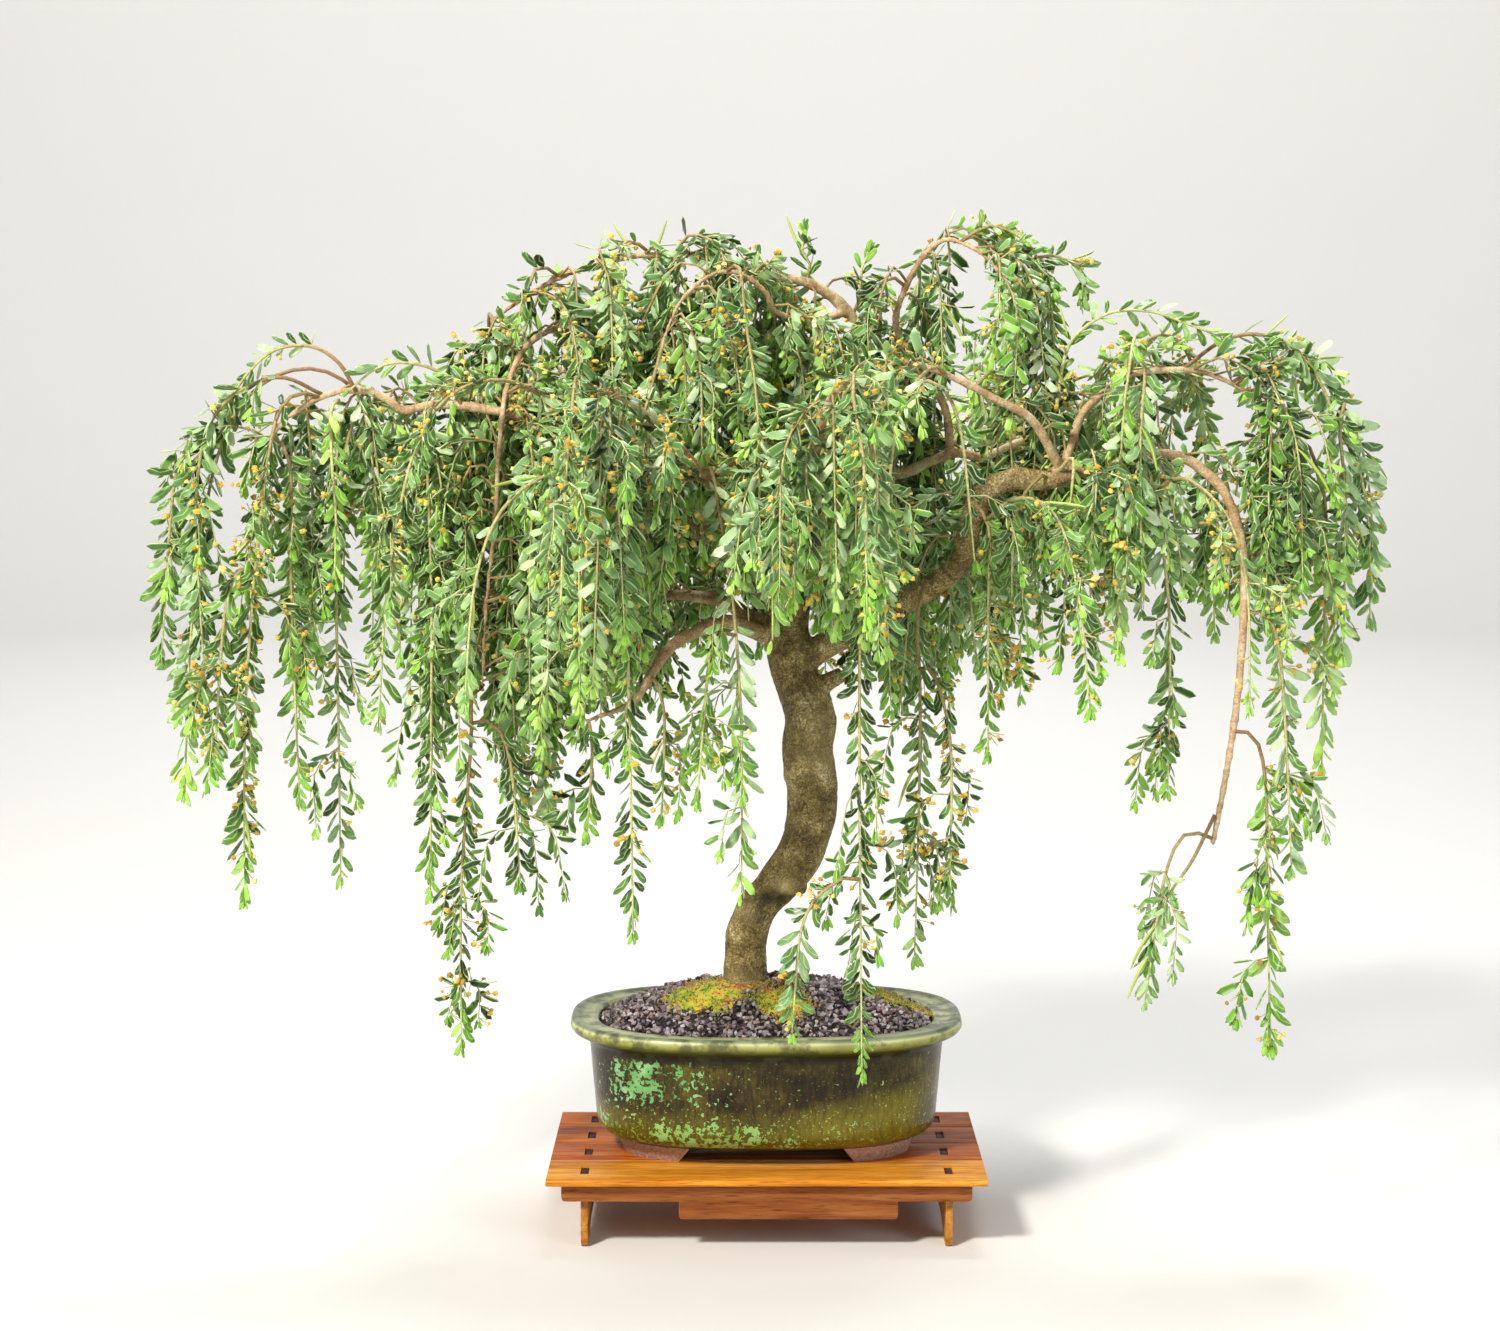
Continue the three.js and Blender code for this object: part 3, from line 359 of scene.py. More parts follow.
def makeStand():
    finishes = {tone: timber("timber" + tone.capitalize(), *values) for tone, values in timberTones.items()}
    for node, tone in boards.items():
        # The CAD board as one skin of large faces, which is then rounded
        bm = bmesh.new()
        bm.from_mesh(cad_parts[node].data)
        bmesh.ops.remove_doubles(bm, verts=bm.verts, dist=0.01 * mm)
        bmesh.ops.dissolve_limit(bm, angle_limit=math.radians(1), verts=bm.verts, edges=bm.edges)
        roundEdges(bm, boardEdge["sharper"], boardEdge["round"], boardEdge["segments"])
        bmesh.ops.triangulate(bm, faces=bm.faces)
        shadedFrom = math.radians(boardEdge["shadedFrom"])
        for edge in bm.edges:
            edge.smooth = not edge.is_manifold or edge.calc_face_angle() < shadedFrom
        name = "board" + "".join(part.capitalize() for part in node.split("_"))
        addPiece(name, asMesh(bm, name), [finishes[tone]], [node])


makeStand()
print("stand made")

# Pot: a squared oval, glazed, on four clay feet
pot = {
    "centreY": 9, "squareness": 2.65, "widerThanDeep": 46, "innerRatioFrom": 100, "sides": 96,
    "profile": [
        (0, 63), (60, 63), (104, 63), (110, 64), (116, 66.2), (120.8, 69), (124, 72.5), (125.6, 76),
        (126.4, 82), (127.8, 98), (129.2, 114), (130.5, 129), (131, 134), (132.3, 137.6),
        (135.2, 139.6), (139.8, 141.6), (143.3, 143.6), (145, 146), (145, 148.6), (144, 151.2),
        (142.2, 152.5), (139.5, 152.2), (135, 150.9), (130, 150.6), (126.6, 151.2), (124.8, 150.6),
        (123.9, 148), (123.5, 140), (122.6, 110), (122, 82), (120, 75), (114, 71), (60, 71), (0, 71)],
    "foot": {"inner": 97, "outerBottom": 108, "outerTop": 111, "floor": 53, "top": 64,
             "frontGap": (64, 56), "sideGap": (24, 18), "sharper": 40, "round": 1.1, "segments": 3},
}
glazeSpan = {"x": (-140, 140), "z": (60, 140)}  # the stretches of the pot that levels are given in
crystalAreas = [  # levels across and up of the crystals, at the upper left, the foot and the left end
    ([(-117, 0), (-108, 1), (-70, 1), (-34, 0.15), (0, 0)],
     [(86, 0.05), (98, 0.35), (108, 1), (130, 1), (134, 0)]),
    ([(-130, 0.7), (-100, 1), (-20, 1), (35, 0.5), (105, 0.12)],
     [(65.5, 0), (69, 1), (82, 0.9), (92, 0.12), (110, 0)]),
    ([(-131, 0.8), (-104, 0)], [(70, 1), (104, 0.7), (114, 0)]),
]


def halfDepth(halfWidth):
    # Near the middle the oval keeps one proportion; further out it is a fixed amount wider than deep
    limit = pot["innerRatioFrom"]
    if halfWidth > limit:
        return halfWidth - pot["widerThanDeep"]
    return halfWidth * (limit - pot["widerThanDeep"]) / limit


def spunOval(profile, closed=False):
    # A profile in millimetres spun round, then moved in place into the pot's squared oval
    bm = bmesh.new()
    spun(bm, [(x * mm, z * mm) for x, z in profile], pot["sides"], closed)
    bmesh.ops.remove_doubles(bm, verts=bm.verts, dist=0.001 * mm)
    power = 2 / pot["squareness"]
    for vert in bm.verts:
        halfWidth = math.hypot(vert.co.x, vert.co.y) / mm
        angle = math.atan2(vert.co.y, vert.co.x)
        c, s = math.cos(angle), math.sin(angle)
        vert.co.x = halfWidth * math.copysign(abs(c) ** power, c) * mm
        vert.co.y = (halfDepth(halfWidth) * math.copysign(abs(s) ** power, s) + pot["centreY"]) * mm
    return bm


def levelAlong(add, place, axis, levels):
    # How strong something is along an axis, from pairs of a place in millimetres and a level
    low, high = glazeSpan[axis]
    part = add("MapRange", {"Value": place, "From Min": low * mm, "From Max": high * mm})
    return add("ValToRGB", {"Fac": part}, [((at - low) / (high - low), level) for at, level in levels])


def glaze():
    # Reduction-fired stoneware glaze: brown to olive and streaked, pale on the lip, with mint crystals
    material, add, place = newMaterial("oliveGlaze", {
        "Roughness": 0.3, "Specular IOR Level": 0.2, "Coat Weight": 0.08, "Coat Roughness": 0.08})
    x, y, z = add("SeparateXYZ", {"Vector": place}).outputs
    cloudy = add("TexNoise", {"Vector": place, "Scale": 30, "Detail": 5, "Roughness": 0.62})
    body = add("ValToRGB", {"Fac": cloudy}, [
        (0.30, "#1C1407"), (0.46, "#33290D"), (0.58, "#4A4013"), (0.72, "#66601C")])
    upright = add("Mapping", {"Vector": place, "Scale": (420, 420, 110)})
    streaks = add("TexNoise", {"Vector": upright, "Scale": 1, "Detail": 4})
    streaky = add("ValToRGB", {"Fac": streaks}, [(0.36, "#6A6A50"), (0.58, "#FFFFFF")])
    # The belly low down is a lighter olive, most of all towards the right, where its edge climbs
    right = add("Math", {0: x, 1: 20 * mm}, operation="MAXIMUM")
    raised = add("Math", {0: z, 1: 4 * mm})
    climb = add("Math", {0: right, 1: -0.2, 2: raised}, operation="MULTIPLY_ADD")
    low = levelAlong(add, climb, "z", [(66, 0.8), (80, 1), (90, 0.6), (100, 0)])
    across = levelAlong(add, x, "x", [
        (-130, 0.85), (-90, 0.5), (-10, 0.45), (70, 1), (108, 0.9), (122, 0.2)])
    onBelly = add("Math", {0: low, 1: across}, operation="MULTIPLY")
    belly = layered(add, "#7A7222", (0.4, streaky, "MULTIPLY"))
    # Crystals: ragged islands where a net of noise and the favoured areas add up
    net = add("TexNoise", {
        "Vector": place, "Scale": 260, "Detail": 2, "Roughness": 0.6, "Distortion": 0.3})
    patches = add("TexNoise", {"Vector": place, "Scale": 48, "Detail": 2})
    favour = None
    for acrossLevels, upLevels in crystalAreas:
        area = add("Math", {0: levelAlong(add, x, "x", acrossLevels), 1: levelAlong(add, z, "z", upLevels)},
                   operation="MULTIPLY")
        favour = add("Math", {0: favour, 1: area}, operation="MAXIMUM") if favour else area
    patchy = add("MapRange", {
        "Value": patches, "From Min": 0.36, "From Max": 0.58, "To Min": 0.4, "To Max": 1.25})
    width = add("Math", {0: favour, 1: patchy}, operation="MULTIPLY")
    islands = add("Math", {0: width, 1: 0.2, 2: net}, operation="MULTIPLY_ADD")
    onCrystals = add("MapRange", {"Value": islands, "From Min": 0.682, "From Max": 0.70})
    mint = add("ValToRGB", {"Fac": patches}, [
        (0.35, "#56904E"), (0.55, "#72AA68"), (0.70, "#98C48C")])
    lime = add("ValToRGB", {"Fac": patches}, [
        (0.35, "#6E8A34"), (0.52, "#84AA52"), (0.68, "#90C07A")])
    up = levelAlong(add, z, "z", [(88, 0), (102, 1)])
    # Fine pale specks break through everywhere
    fine = add("TexNoise", {"Vector": place, "Scale": 620, "Detail": 1})
    specks = add("MapRange", {"Value": fine, "From Min": 0.67, "From Max": 0.71})
    onSpecks = add("Math", {0: specks, 1: add("Math", {0: low, 1: 0.2})}, operation="MULTIPLY")
    # Under the lip it is darkest, a painted shade over glaze that pools there; along the ridge it runs thin
    # and yellow-green, with a pale painted highlight band along its upper edge, and it is pale grey-green
    # on top
    lipHeight = add("MapRange", {"Value": z, "From Min": 132 * mm, "From Max": 153 * mm})
    lip = add("ValToRGB", {"Fac": lipHeight}, [
        (0.0, "#231C08"), (0.24, "#151008"), (0.42, "#45461A"), (0.60, "#7A7E34"),
        (0.78, "#A2A45C"), (0.86, "#C8CC9A"), (0.94, "#7E8A66"), (1.0, "#8E9A80")])
    dark = add("TexNoise", {"Vector": place, "Scale": 75, "Detail": 4, "Roughness": 0.6})
    stain = add("MapRange", {"Value": dark, "From Min": 0.54, "From Max": 0.40, "To Max": 0.75})
    onLip = add("MapRange", {"Value": z, "From Min": 131 * mm, "From Max": 135 * mm})
    colour = layered(
        add, body, (0.7, streaky, "MULTIPLY"), (onBelly, belly),
        (onCrystals, layered(add, lime, (up, mint))), (onSpecks, "#A4AE50"),
        (onLip, layered(add, lip, (stain, "#3A4226"))))
    return surfaced(material, colour, cloudy, 0.35, 0.5)


def clay():
    # Unglazed fired clay: pinkish brown, dry, with fine grog
    material, add, place = newMaterial("firedClay", {"Roughness": 0.85})
    grog = add("TexNoise", {"Vector": place, "Scale": 420, "Detail": 4, "Roughness": 0.7})
    tone = add("ValToRGB", {"Fac": grog}, [(0.3, "#80604F"), (0.5, "#A88876"), (0.7, "#C4A594")])
    return surfaced(material, tone, grog, 0.5, 0.3)


def makePot():
    bm = spunOval(pot["profile"])
    bmesh.ops.recalc_face_normals(bm, faces=bm.faces)
    addPiece("potBody", asMesh(bm, "potBody"), [glaze()], ["pot"])
    foot = pot["foot"]
    bm = spunOval([(foot["inner"], foot["floor"]), (foot["outerBottom"], foot["floor"]),
                   (foot["outerTop"], foot["top"]), (foot["inner"], foot["top"])], closed=True)
    # Two sloping cuts leave one corner of the ring, which is then mirrored to the other three
    high = foot["top"] - foot["floor"]
    centre = Vector((0, pot["centreY"] * mm, foot["floor"] * mm))
    for axis, (bottom, top) in (((1, 0, 0), foot["frontGap"]), ((0, 1, 0), foot["sideGap"])):
        axis = Vector(axis)
        slope = (axis * high + Vector((0, 0, bottom - top))).normalized()
        bmesh.ops.bisect_plane(bm, geom=wholeOf(bm), dist=0.001 * mm, plane_co=centre + axis * bottom * mm,
                               plane_no=slope, clear_inner=True)
        bmesh.ops.holes_fill(bm, edges=[edge for edge in bm.edges if edge.is_boundary], sides=0)
    bmesh.ops.recalc_face_normals(bm, faces=bm.faces)
    roundEdges(bm, foot["sharper"], foot["round"], foot["segments"])
    for axis, middle in (("X", 0), ("Y", pot["centreY"] * mm)):
        bmesh.ops.translate(bm, verts=bm.verts, vec=(0, -middle, 0))
        bmesh.ops.mirror(bm, geom=wholeOf(bm), axis=axis, merge_dist=-1)
        bmesh.ops.translate(bm, verts=bm.verts, vec=(0, middle, 0))
    bmesh.ops.recalc_face_normals(bm, faces=bm.faces)
    addPiece("potFeet", asMesh(bm, "potFeet"), [clay()], ["pot"])


makePot()
print("pot made")

# Soil: a low mound, with loose grit stones over it
mound = [(0, 180), (13, 179.5), (32, 177), (53, 173.5), (73, 168.5), (92, 162), (110, 154.5), (123.2, 148)]
grit = {
    "spacing": 3.7, "size": (1.7, 3.0), "shapes": 9, "points": 11, "extra": 500, "seed": 11,
    "area": (125, 80), "edge": 121.5,            # half width and depth of the grid, last oval with stones
    "bedLower": 1.6, "extraLift": 1.6, "extraArea": (115, 72), "bedTint": 0.04, "large": (0.08, 1.25),
}
trunkFoot = {"place": (-13, 5), "radius": 19}
mossMats = {  # centre across and back, reach, height, turn in radians
    "moss_left": ((-42, -12), (33, 25), 4.2, 0.2),
    "moss_front": ((12, -30), (21, 14), 3.8, -0.3),
    "moss_right": ((94, 12), (28, 16), 3.2, 0.1),
}


def ovalReach(x, y):
    # Which of the pot's ovals a place in it lies on, by that oval's half width
    depth = y - pot["centreY"]
    low, high = 0, 160
    for _ in range(18):
        middle = (low + high) / 2
        parts = abs(x) / middle, abs(depth) / halfDepth(middle)
        outside = sum(part ** pot["squareness"] for part in parts) > 1
        low, high = (middle, high) if outside else (low, middle)
    return low


def moundHeight(x, y):
    return tableAt(mound, ovalReach(x, y))


def onMoss(x, y, scale):
    for (cx, cy), (rx, ry), height, turn in mossMats.values():
        dx, dy = x - cx, y - cy
        u = dx * math.cos(turn) + dy * math.sin(turn)
        v = dy * math.cos(turn) - dx * math.sin(turn)
        if (u / rx) ** 2 + (v / ry) ** 2 < scale * scale:
            return True
    return False


def gritStone():
    # Crushed basalt, scoria and baked clay grit: black, grey and mauve, each stone its own shade
    material, add, place = newMaterial("gritStone", {"Roughness": 0.42})
    shade = add("Attribute", attribute_name="tint")
    tone = add("ValToRGB", {"Fac": shade}, [
        (0.0, "#1A1614"), (0.12, "#3E3638"), (0.30, "#6E6468"), (0.52, "#9C9096"),
        (0.74, "#C0B6BA"), (0.86, "#8A6654"), (1.0, "#E2DCDE")])
    speckle = add("TexNoise", {"Vector": place, "Scale": 900, "Detail": 3})
    mottle = add("ValToRGB", {"Fac": speckle}, [(0.35, "#7A7A7A"), (0.65, "#FFFFFF")])
    return surfaced(material, layered(add, tone, (0.35, mottle, "MULTIPLY")), speckle, 0.5, 0.3)


def makeSoil():
    chance = random.Random(grit["seed"])
    stone = gritStone()
    profile = [(x, z - grit["bedLower"]) for x, z in reversed(mound)]
    bm = spunOval([(0, 71.5), (112, 71.5), (121, 80.5), *profile])
    tint = bm.verts.layers.float.new("tint")
    for vert in bm.verts:
        vert[tint] = grit["bedTint"]
    bmesh.ops.recalc_face_normals(bm, faces=bm.faces)
    addPiece("soilBed", asMesh(bm, "soilBed"), [stone], ["soil"])

    shapes = []
    for _ in range(grit["shapes"]):
        bm = newMesh()
        for _ in range(grit["points"]):
            bm.verts.new(threeOf(chance.gauss, 0, 1).normalized() * chance.uniform(0.85, 1.1))
        bmesh.ops.convex_hull(bm, input=bm.verts)
        bmesh.ops.recalc_face_normals(bm, faces=bm.faces)
        shapes.append(asMesh(bm, "stone", smooth=False))
    places = []
    step = grit["spacing"]
    columns, rows = [int(half / step) for half in grit["area"]]
    for j in range(-rows, rows + 1):
        for i in range(-columns, columns + 1):
            places.append(((i + 0.5 * (j % 2) + chance.uniform(-0.3, 0.3)) * step,
                           pot["centreY"] + (j + chance.uniform(-0.3, 0.3)) * step, 0))
    for _ in range(grit["extra"]):
        x, y = [chance.uniform(-half, half) for half in grit["extraArea"]]
        places.append((x, pot["centreY"] + y, grit["extraLift"]))
    bm = newMesh()
    for x, y, lift in places:
        fromTrunk = math.hypot(x - trunkFoot["place"][0], y - trunkFoot["place"][1])
        if ovalReach(x, y) > grit["edge"] or fromTrunk < trunkFoot["radius"] or onMoss(x, y, 0.86):
            continue
        share, larger = grit["large"]
        size = chance.uniform(*grit["size"]) * (larger if chance.random() < share else 1)
        shape = Vector((chance.uniform(0.85, 1.25), chance.uniform(0.75, 1.1), chance.uniform(0.6, 0.95)))
        turn = Matrix.Rotation(chance.uniform(0, 6.3), 4, threeOf(chance.gauss, 0, 1))
        spot = Vector((x, y, moundHeight(x, y) - 0.9 + lift + chance.uniform(-0.5, 0.5))) * mm
        place = Matrix.Translation(spot) @ turn @ Matrix.Diagonal((*(shape * size * mm), 1))
        shade = chance.random()
        putCopy(bm, chance.choice(shapes), place, 0, shade)
    mesh = asMesh(bm, "gritStones", smooth=None)
    addPiece("gritStones", mesh, [stone], ["soil"])
    print("grit stones:", len(mesh.polygons), "faces")


makeSoil()

# Moss: low cushions set thick with short leafy tips
mossTuft = {
    "length": (1.4, 3.0), "radius": 0.55, "each": 1300, "lean": 0.6, "stray": 0.8, "seed": 3,
    "litter": ((-2.6, 0.4), (17, 34)),           # where brown bits lie round the trunk: turns and distances
    "edge": 119,
}


def mossGreen():
    # Live moss: yellow-green tips, some gone orange-brown as they fruit and dry
    material, add, place = newMaterial("mossLeaf", {"Roughness": 0.8, "Sheen Weight": 0.2})
    shade = add("Attribute", attribute_name="tint")
    patch = add("TexNoise", {"Vector": place, "Scale": 75, "Detail": 3})
    both = add("Math", {0: shade, 1: 0.42, 2: patch}, operation="MULTIPLY_ADD")
    tone = add("ValToRGB", {"Fac": both}, [
        (0.42, "#2E3A0A"), (0.54, "#6E8614"), (0.68, "#B2B828"), (0.79, "#CDA040"), (0.90, "#A0622A")])
    return surfaced(material, tone)


def makeCushion(chance, cx, cy, rx, ry, height, turn):
    # A flattened, uneven dome, and the places on it from which tips grow
    bm = newMesh()
    tint = bm.verts.layers.float["tint"]
    bmesh.ops.create_icosphere(bm, subdivisions=5, radius=1)
    bmesh.ops.delete(bm, geom=[v for v in bm.verts if v.co.z < -0.15], context="VERTS")
    bmesh.ops.holes_fill(bm, edges=[e for e in bm.edges if e.is_boundary], sides=0)
    bmesh.ops.triangulate(bm, faces=[f for f in bm.faces if len(f.verts) > 4])
    roots = []
    for vert in bm.verts:
        swell = 1 + 0.30 * noise.noise(vert.co * 2.4 + Vector((cx, cy, 0)))
        swell += 0.12 * noise.noise(vert.co * 7)
        x, y = vert.co.x * rx * swell, vert.co.y * ry * swell
        wx = cx + x * math.cos(turn) - y * math.sin(turn)
        wy = cy + x * math.sin(turn) + y * math.cos(turn)
        lumps = 0.9 * noise.noise(Vector((wx, wy, 3)) * 0.13)
        up = max(vert.co.z, -0.1)
        vert.co = Vector((wx, wy, moundHeight(wx, wy) - 0.8 + (height * 0.62 + lumps) * up)) * mm
        vert[tint] = 0.35 + 0.2 * chance.random()
        if up > 0.05:
            roots.append(vert.co.copy())
    return asMesh(bm, "cushion"), roots


def makeMoss():
    chance = random.Random(mossTuft["seed"])
    green = mossGreen()
    bm = newMesh()
    bmesh.ops.create_cone(bm, segments=4, radius1=1, radius2=0, depth=1, cap_ends=True, cap_tris=True)
    bmesh.ops.translate(bm, verts=bm.verts, vec=(0, 0, 0.5))
    tip = asMesh(bm, "mossTip")
    for node, ((cx, cy), (rx, ry), height, turn) in mossMats.items():
        cushion, roots = makeCushion(chance, cx, cy, rx, ry, height, turn)
        bm = newMesh()
        bm.from_mesh(cushion)
        for i in range(mossTuft["each"]):
            root = chance.choice(roots) + threeOf(chance.uniform, -0.6, 0.6) * mm
            shade = chance.random()
            if i % 4 == 0:
                # Every fourth tuft has strayed out of the mat, onto the grit round it
                stray = chance.uniform(1.0, 1.0 + chance.uniform(0, mossTuft["stray"]))
                x, y = cx + (root.x / mm - cx) * stray, cy + (root.y / mm - cy) * stray
                if i % 8 == 0:
                    # and half of those are brown litter at the foot of the trunk
                    angle, distance = [chance.uniform(*limits) for limits in mossTuft["litter"]]
                    x = trunkFoot["place"][0] + distance * math.cos(angle) * 1.3
                    y = trunkFoot["place"][1] + distance * math.sin(angle) * 0.8
                    shade = chance.uniform(0.75, 1.3)
                if ovalReach(x, y) < mossTuft["edge"]:
                    root = Vector((x, y, moundHeight(x, y) + 0.6)) * mm
            outward = Vector(((root.x / mm - cx) / rx, (root.y / mm - cy) / ry, 0)) * 0.5
            lean = threeOf(chance.gauss, 0, mossTuft["lean"])
            up = (Vector((0, 0, 1)) + lean + outward).normalized()
            length = chance.uniform(*mossTuft["length"])
            shape = Matrix.Diagonal((mossTuft["radius"] * mm, mossTuft["radius"] * mm, length * mm, 1))
            putCopy(bm, tip, pointing(root, up) @ shape, 0, shade)
        bmesh.ops.recalc_face_normals(bm, faces=bm.faces)
        name = "mossCushion" + node.split("_")[1].capitalize()
        addPiece(name, asMesh(bm, name), [green], [node])


makeMoss()
print("soil and moss made")

# Wood: the trunk and its limbs, as in the CAD source, with radii spaced evenly from end to end
limbs = {
    "trunk": ([(-14, 5, 152), (-15, 5, 166), (-16, 5, 186), (-14, 4, 214), (-6, 3, 233), (9, 1, 250),
               (23, -1, 270), (31, -1, 291), (34, 0, 320), (30, 2, 349), (32, 3, 375), (22, 4, 401),
               (15, 5, 430), (17, 6, 459)],
              [17.5, 16.4, 15.6, 14.6, 17.2, 17.6, 19.2, 18.8, 19.4, 17, 17.2, 15]),
    "leader": ([(17, 6, 459), (34, 22, 497), (62, 40, 527), (84, 40, 553), (90, 42, 597), (76, 38, 634),
                (60, 30, 669), (33, 22, 689), (4, 12, 695), (-23, 6, 703), (-55, 0, 710), (-91, -6, 709),
                (-127, -12, 701), (-162, -18, 686), (-198, -24, 661)],
               [14, 10, 8, 6.3, 4.8, 3.7, 3, 2.6, 2.2, 1.7]),
    "right": ([(25, 5, 415), (61, -12, 438), (96, -30, 458), (117, -40, 472), (137, -48, 491),
               (145, -52, 520), (155, -55, 541), (175, -58, 551), (200, -62, 550), (234, -66, 561),
               (283, -70, 568), (312, -74, 552), (326, -78, 530), (334, -82, 495), (334, -84, 453),
               (331, -84, 400), (324, -84, 345), (315, -84, 293)],
              [11, 9.5, 8.8, 8.4, 7.8, 4.7, 4, 3.6, 3.2, 2.9, 2.6, 2.3]),
    "rightUp": ([(208, -63, 556), (222, -50, 594), (237, -42, 609), (259, -35, 624), (300, -30, 627),
                 (325, -28, 621), (354, -28, 604), (382, -28, 577)], [3.8, 3.2, 2.6, 2.1, 1.6]),
    "rightBack": ([(208, -63, 556), (185, -80, 592), (160, -92, 606), (130, -104, 621), (94, -112, 633),
                   (70, -118, 624)], [3.9, 3.3, 2.7, 1.9]),
    "middle": ([(84, 40, 550), (103, 48, 551), (122, 56, 559), (142, 66, 565), (164, 78, 562),
                (191, 95, 572), (225, 115, 581), (258, 135, 573)], [4.8, 4, 3.3, 2.7, 1.9]),
    "topRight": ([(138, 64, 564), (132, 50, 601), (109, 36, 631), (95, 28, 660), (101, 18, 686),
                  (113, 10, 708), (127, 2, 720), (140, -6, 718), (156, -16, 708), (173, -26, 687)],
                 [3.6, 3.1, 2.7, 2.2, 1.5]),
    "left": ([(14, 6, 446), (-18, 0, 489), (-37, -8, 506), (-68, -20, 519), (-87, -28, 529),
              (-126, -38, 556), (-161, -46, 588), (-190, -52, 598), (-232, -58, 603), (-256, -60, 599),
              (-269, -62, 608), (-287, -64, 613), (-305, -66, 611), (-323, -68, 603), (-337, -70, 593),
              (-350, -72, 578)], [10, 8, 6.6, 5.2, 4.1, 3.6, 3.2, 2.6, 1.9]),
    "leftUp": ([(-77, -24, 523), (-92, -10, 562), (-108, 0, 605), (-128, 0, 641), (-148, -14, 656),
                (-170, -34, 645), (-183, -52, 617), (-188, -66, 578), (-191, -74, 522), (-198, -76, 459),
                (-201, -76, 402)], [4, 3.2, 2.7, 2.2, 1.9, 1.5]),
    "arch": ([(60, 30, 669), (33, 5, 663), (7, -20, 668), (-1, -34, 682), (-15, -42, 693),
              (-28, -50, 696), (-40, -58, 693), (-53, -68, 683), (-63, -76, 670), (-72, -86, 648)],
             [3.2, 2.7, 2.3, 2, 1.5]),
    "lowerBack": ([(9, 5, 436), (-16, 14, 448), (-28, 22, 456), (-57, 40, 460), (-79, 56, 459),
                   (-114, 76, 454), (-150, 100, 463)], [8, 5, 4, 3, 2]),
    "lowerFront": ([(9, 5, 430), (-28, -8, 445), (-50, -22, 439), (-68, -36, 430), (-83, -50, 410),
                    (-96, -58, 391), (-121, -66, 382)], [8, 5.5, 4.5, 3.4, 2]),
    "backRight": ([(34, 22, 488), (56, 70, 515), (96, 120, 543), (152, 165, 572), (218, 200, 595)],
                  [7, 5, 3.6, 2]),
    "backLeft": ([(17, 8, 467), (-5, 60, 500), (-43, 110, 543), (-98, 150, 588), (-161, 180, 627)],
                 [7, 5, 3.6, 2]),
    "backMiddle": ([(25, 8, 467), (30, 60, 515), (26, 120, 573), (19, 180, 627), (4, 230, 647)],
                   [7, 5, 3.6, 2]),
    "frontLeft": ([(14, 4, 451), (-12, -50, 507), (-47, -100, 558), (-86, -140, 600), (-118, -170, 617)],
                  [7, 5, 3.6, 2]),
    "frontMiddle": ([(17, 2, 456), (23, -60, 507), (32, -120, 566), (41, -165, 607), (50, -200, 618)],
                    [7, 5, 3.6, 2]),
    "lowerKnuckle": ([(1, -10, 256), (14, -14, 252), (28, -9, 250)], [8.5, 9.5, 7.5]),
    "upperStub": ([(26, 2, 388), (42, 0, 398), (56, -2, 406)], [8, 6.8, 5.8]),
}
wood = {
    "sides": 14, "step": 5, "voxel": 2.05, "smoothing": 2, "ringStep": 2,
    "knotEvery": 24, "knot": 0.5, "knotBelow": 9,  # leaf scars that swell a young limb
    "ridgeEvery": 4.4, "ridgeWide": 26, "ridge": 0.5, "ridgeMost": 0.25, "lump": 1.3, "lumpSize": 17,
    "thin": 3, "thick": 9, "thinLift": 0.12,       # where ridges and lumps start and are at their full
    # millimetres of swelling for the full painted highlight where the bark stands out, and the full painted
    # shade where it folds in
    "stumpGirth": 12, "reliefLightAt": 2.2,
}
stubs = ("lowerKnuckle", "upperStub")
swellings = [  # place, reach and how far the bark stands out or, where it folds, in
    ((14, -22, 252), 9, 1.6), ((12, -17, 238), 7, -3.6), ((24, -10, 237), 7, -3), ((-1, -14, 241), 6, -2.4),
    ((-14, -6, 231), 9, 1.4), ((34, -8, 345), 14, 1.4), ((13, -6, 330), 5, 2.4), ((8, -8, 288), 7, -1.8),
    ((36, -6, 372), 12, 1.6), ((10, -8, 384), 11, -1.4), ((-24, -6, 180), 12, 0.8), ((2, -12, 178), 8, 1.6),
]
limbPoints = {name: [Vector(p) * mm for p in points] for name, (points, radii) in limbs.items()}


def tubeTemplate(sides, steps):
    # A closed tube, 1 round and 1 long, ready to bend along a line
    bm = newMesh()
    bmesh.ops.create_cone(bm, segments=sides, radius1=1, radius2=1, depth=1, cap_ends=True, cap_tris=False)
    bmesh.ops.translate(bm, verts=bm.verts, vec=(0, 0, 0.5))
    upright = [e for e in bm.edges if abs(e.verts[0].co.z - e.verts[1].co.z) > 0.5]
    bmesh.ops.subdivide_edges(bm, edges=upright, cuts=steps - 1, use_grid_fill=True)
    return asMesh(bm, "tube", finish=1)


tubes = {}


def addTube(bm, path, sides, radiusAt):
    # Bends a tube along a path and gives back its vertices with how far along each is, 0 to 1
    steps = len(path["line"]) - 1
    if (sides, steps) not in tubes:
        tubes[sides, steps] = tubeTemplate(sides, steps)
    found = []
    for vert in addCopy(bm, tubes[sides, steps]):
        k = round(vert.co.z * steps)
        tangent, side, across = path["frames"][k]
        vert.co = path["line"][k] + (side * vert.co.x + across * vert.co.y) * radiusAt(k / steps)
        found.append((vert, k / steps))
    return found


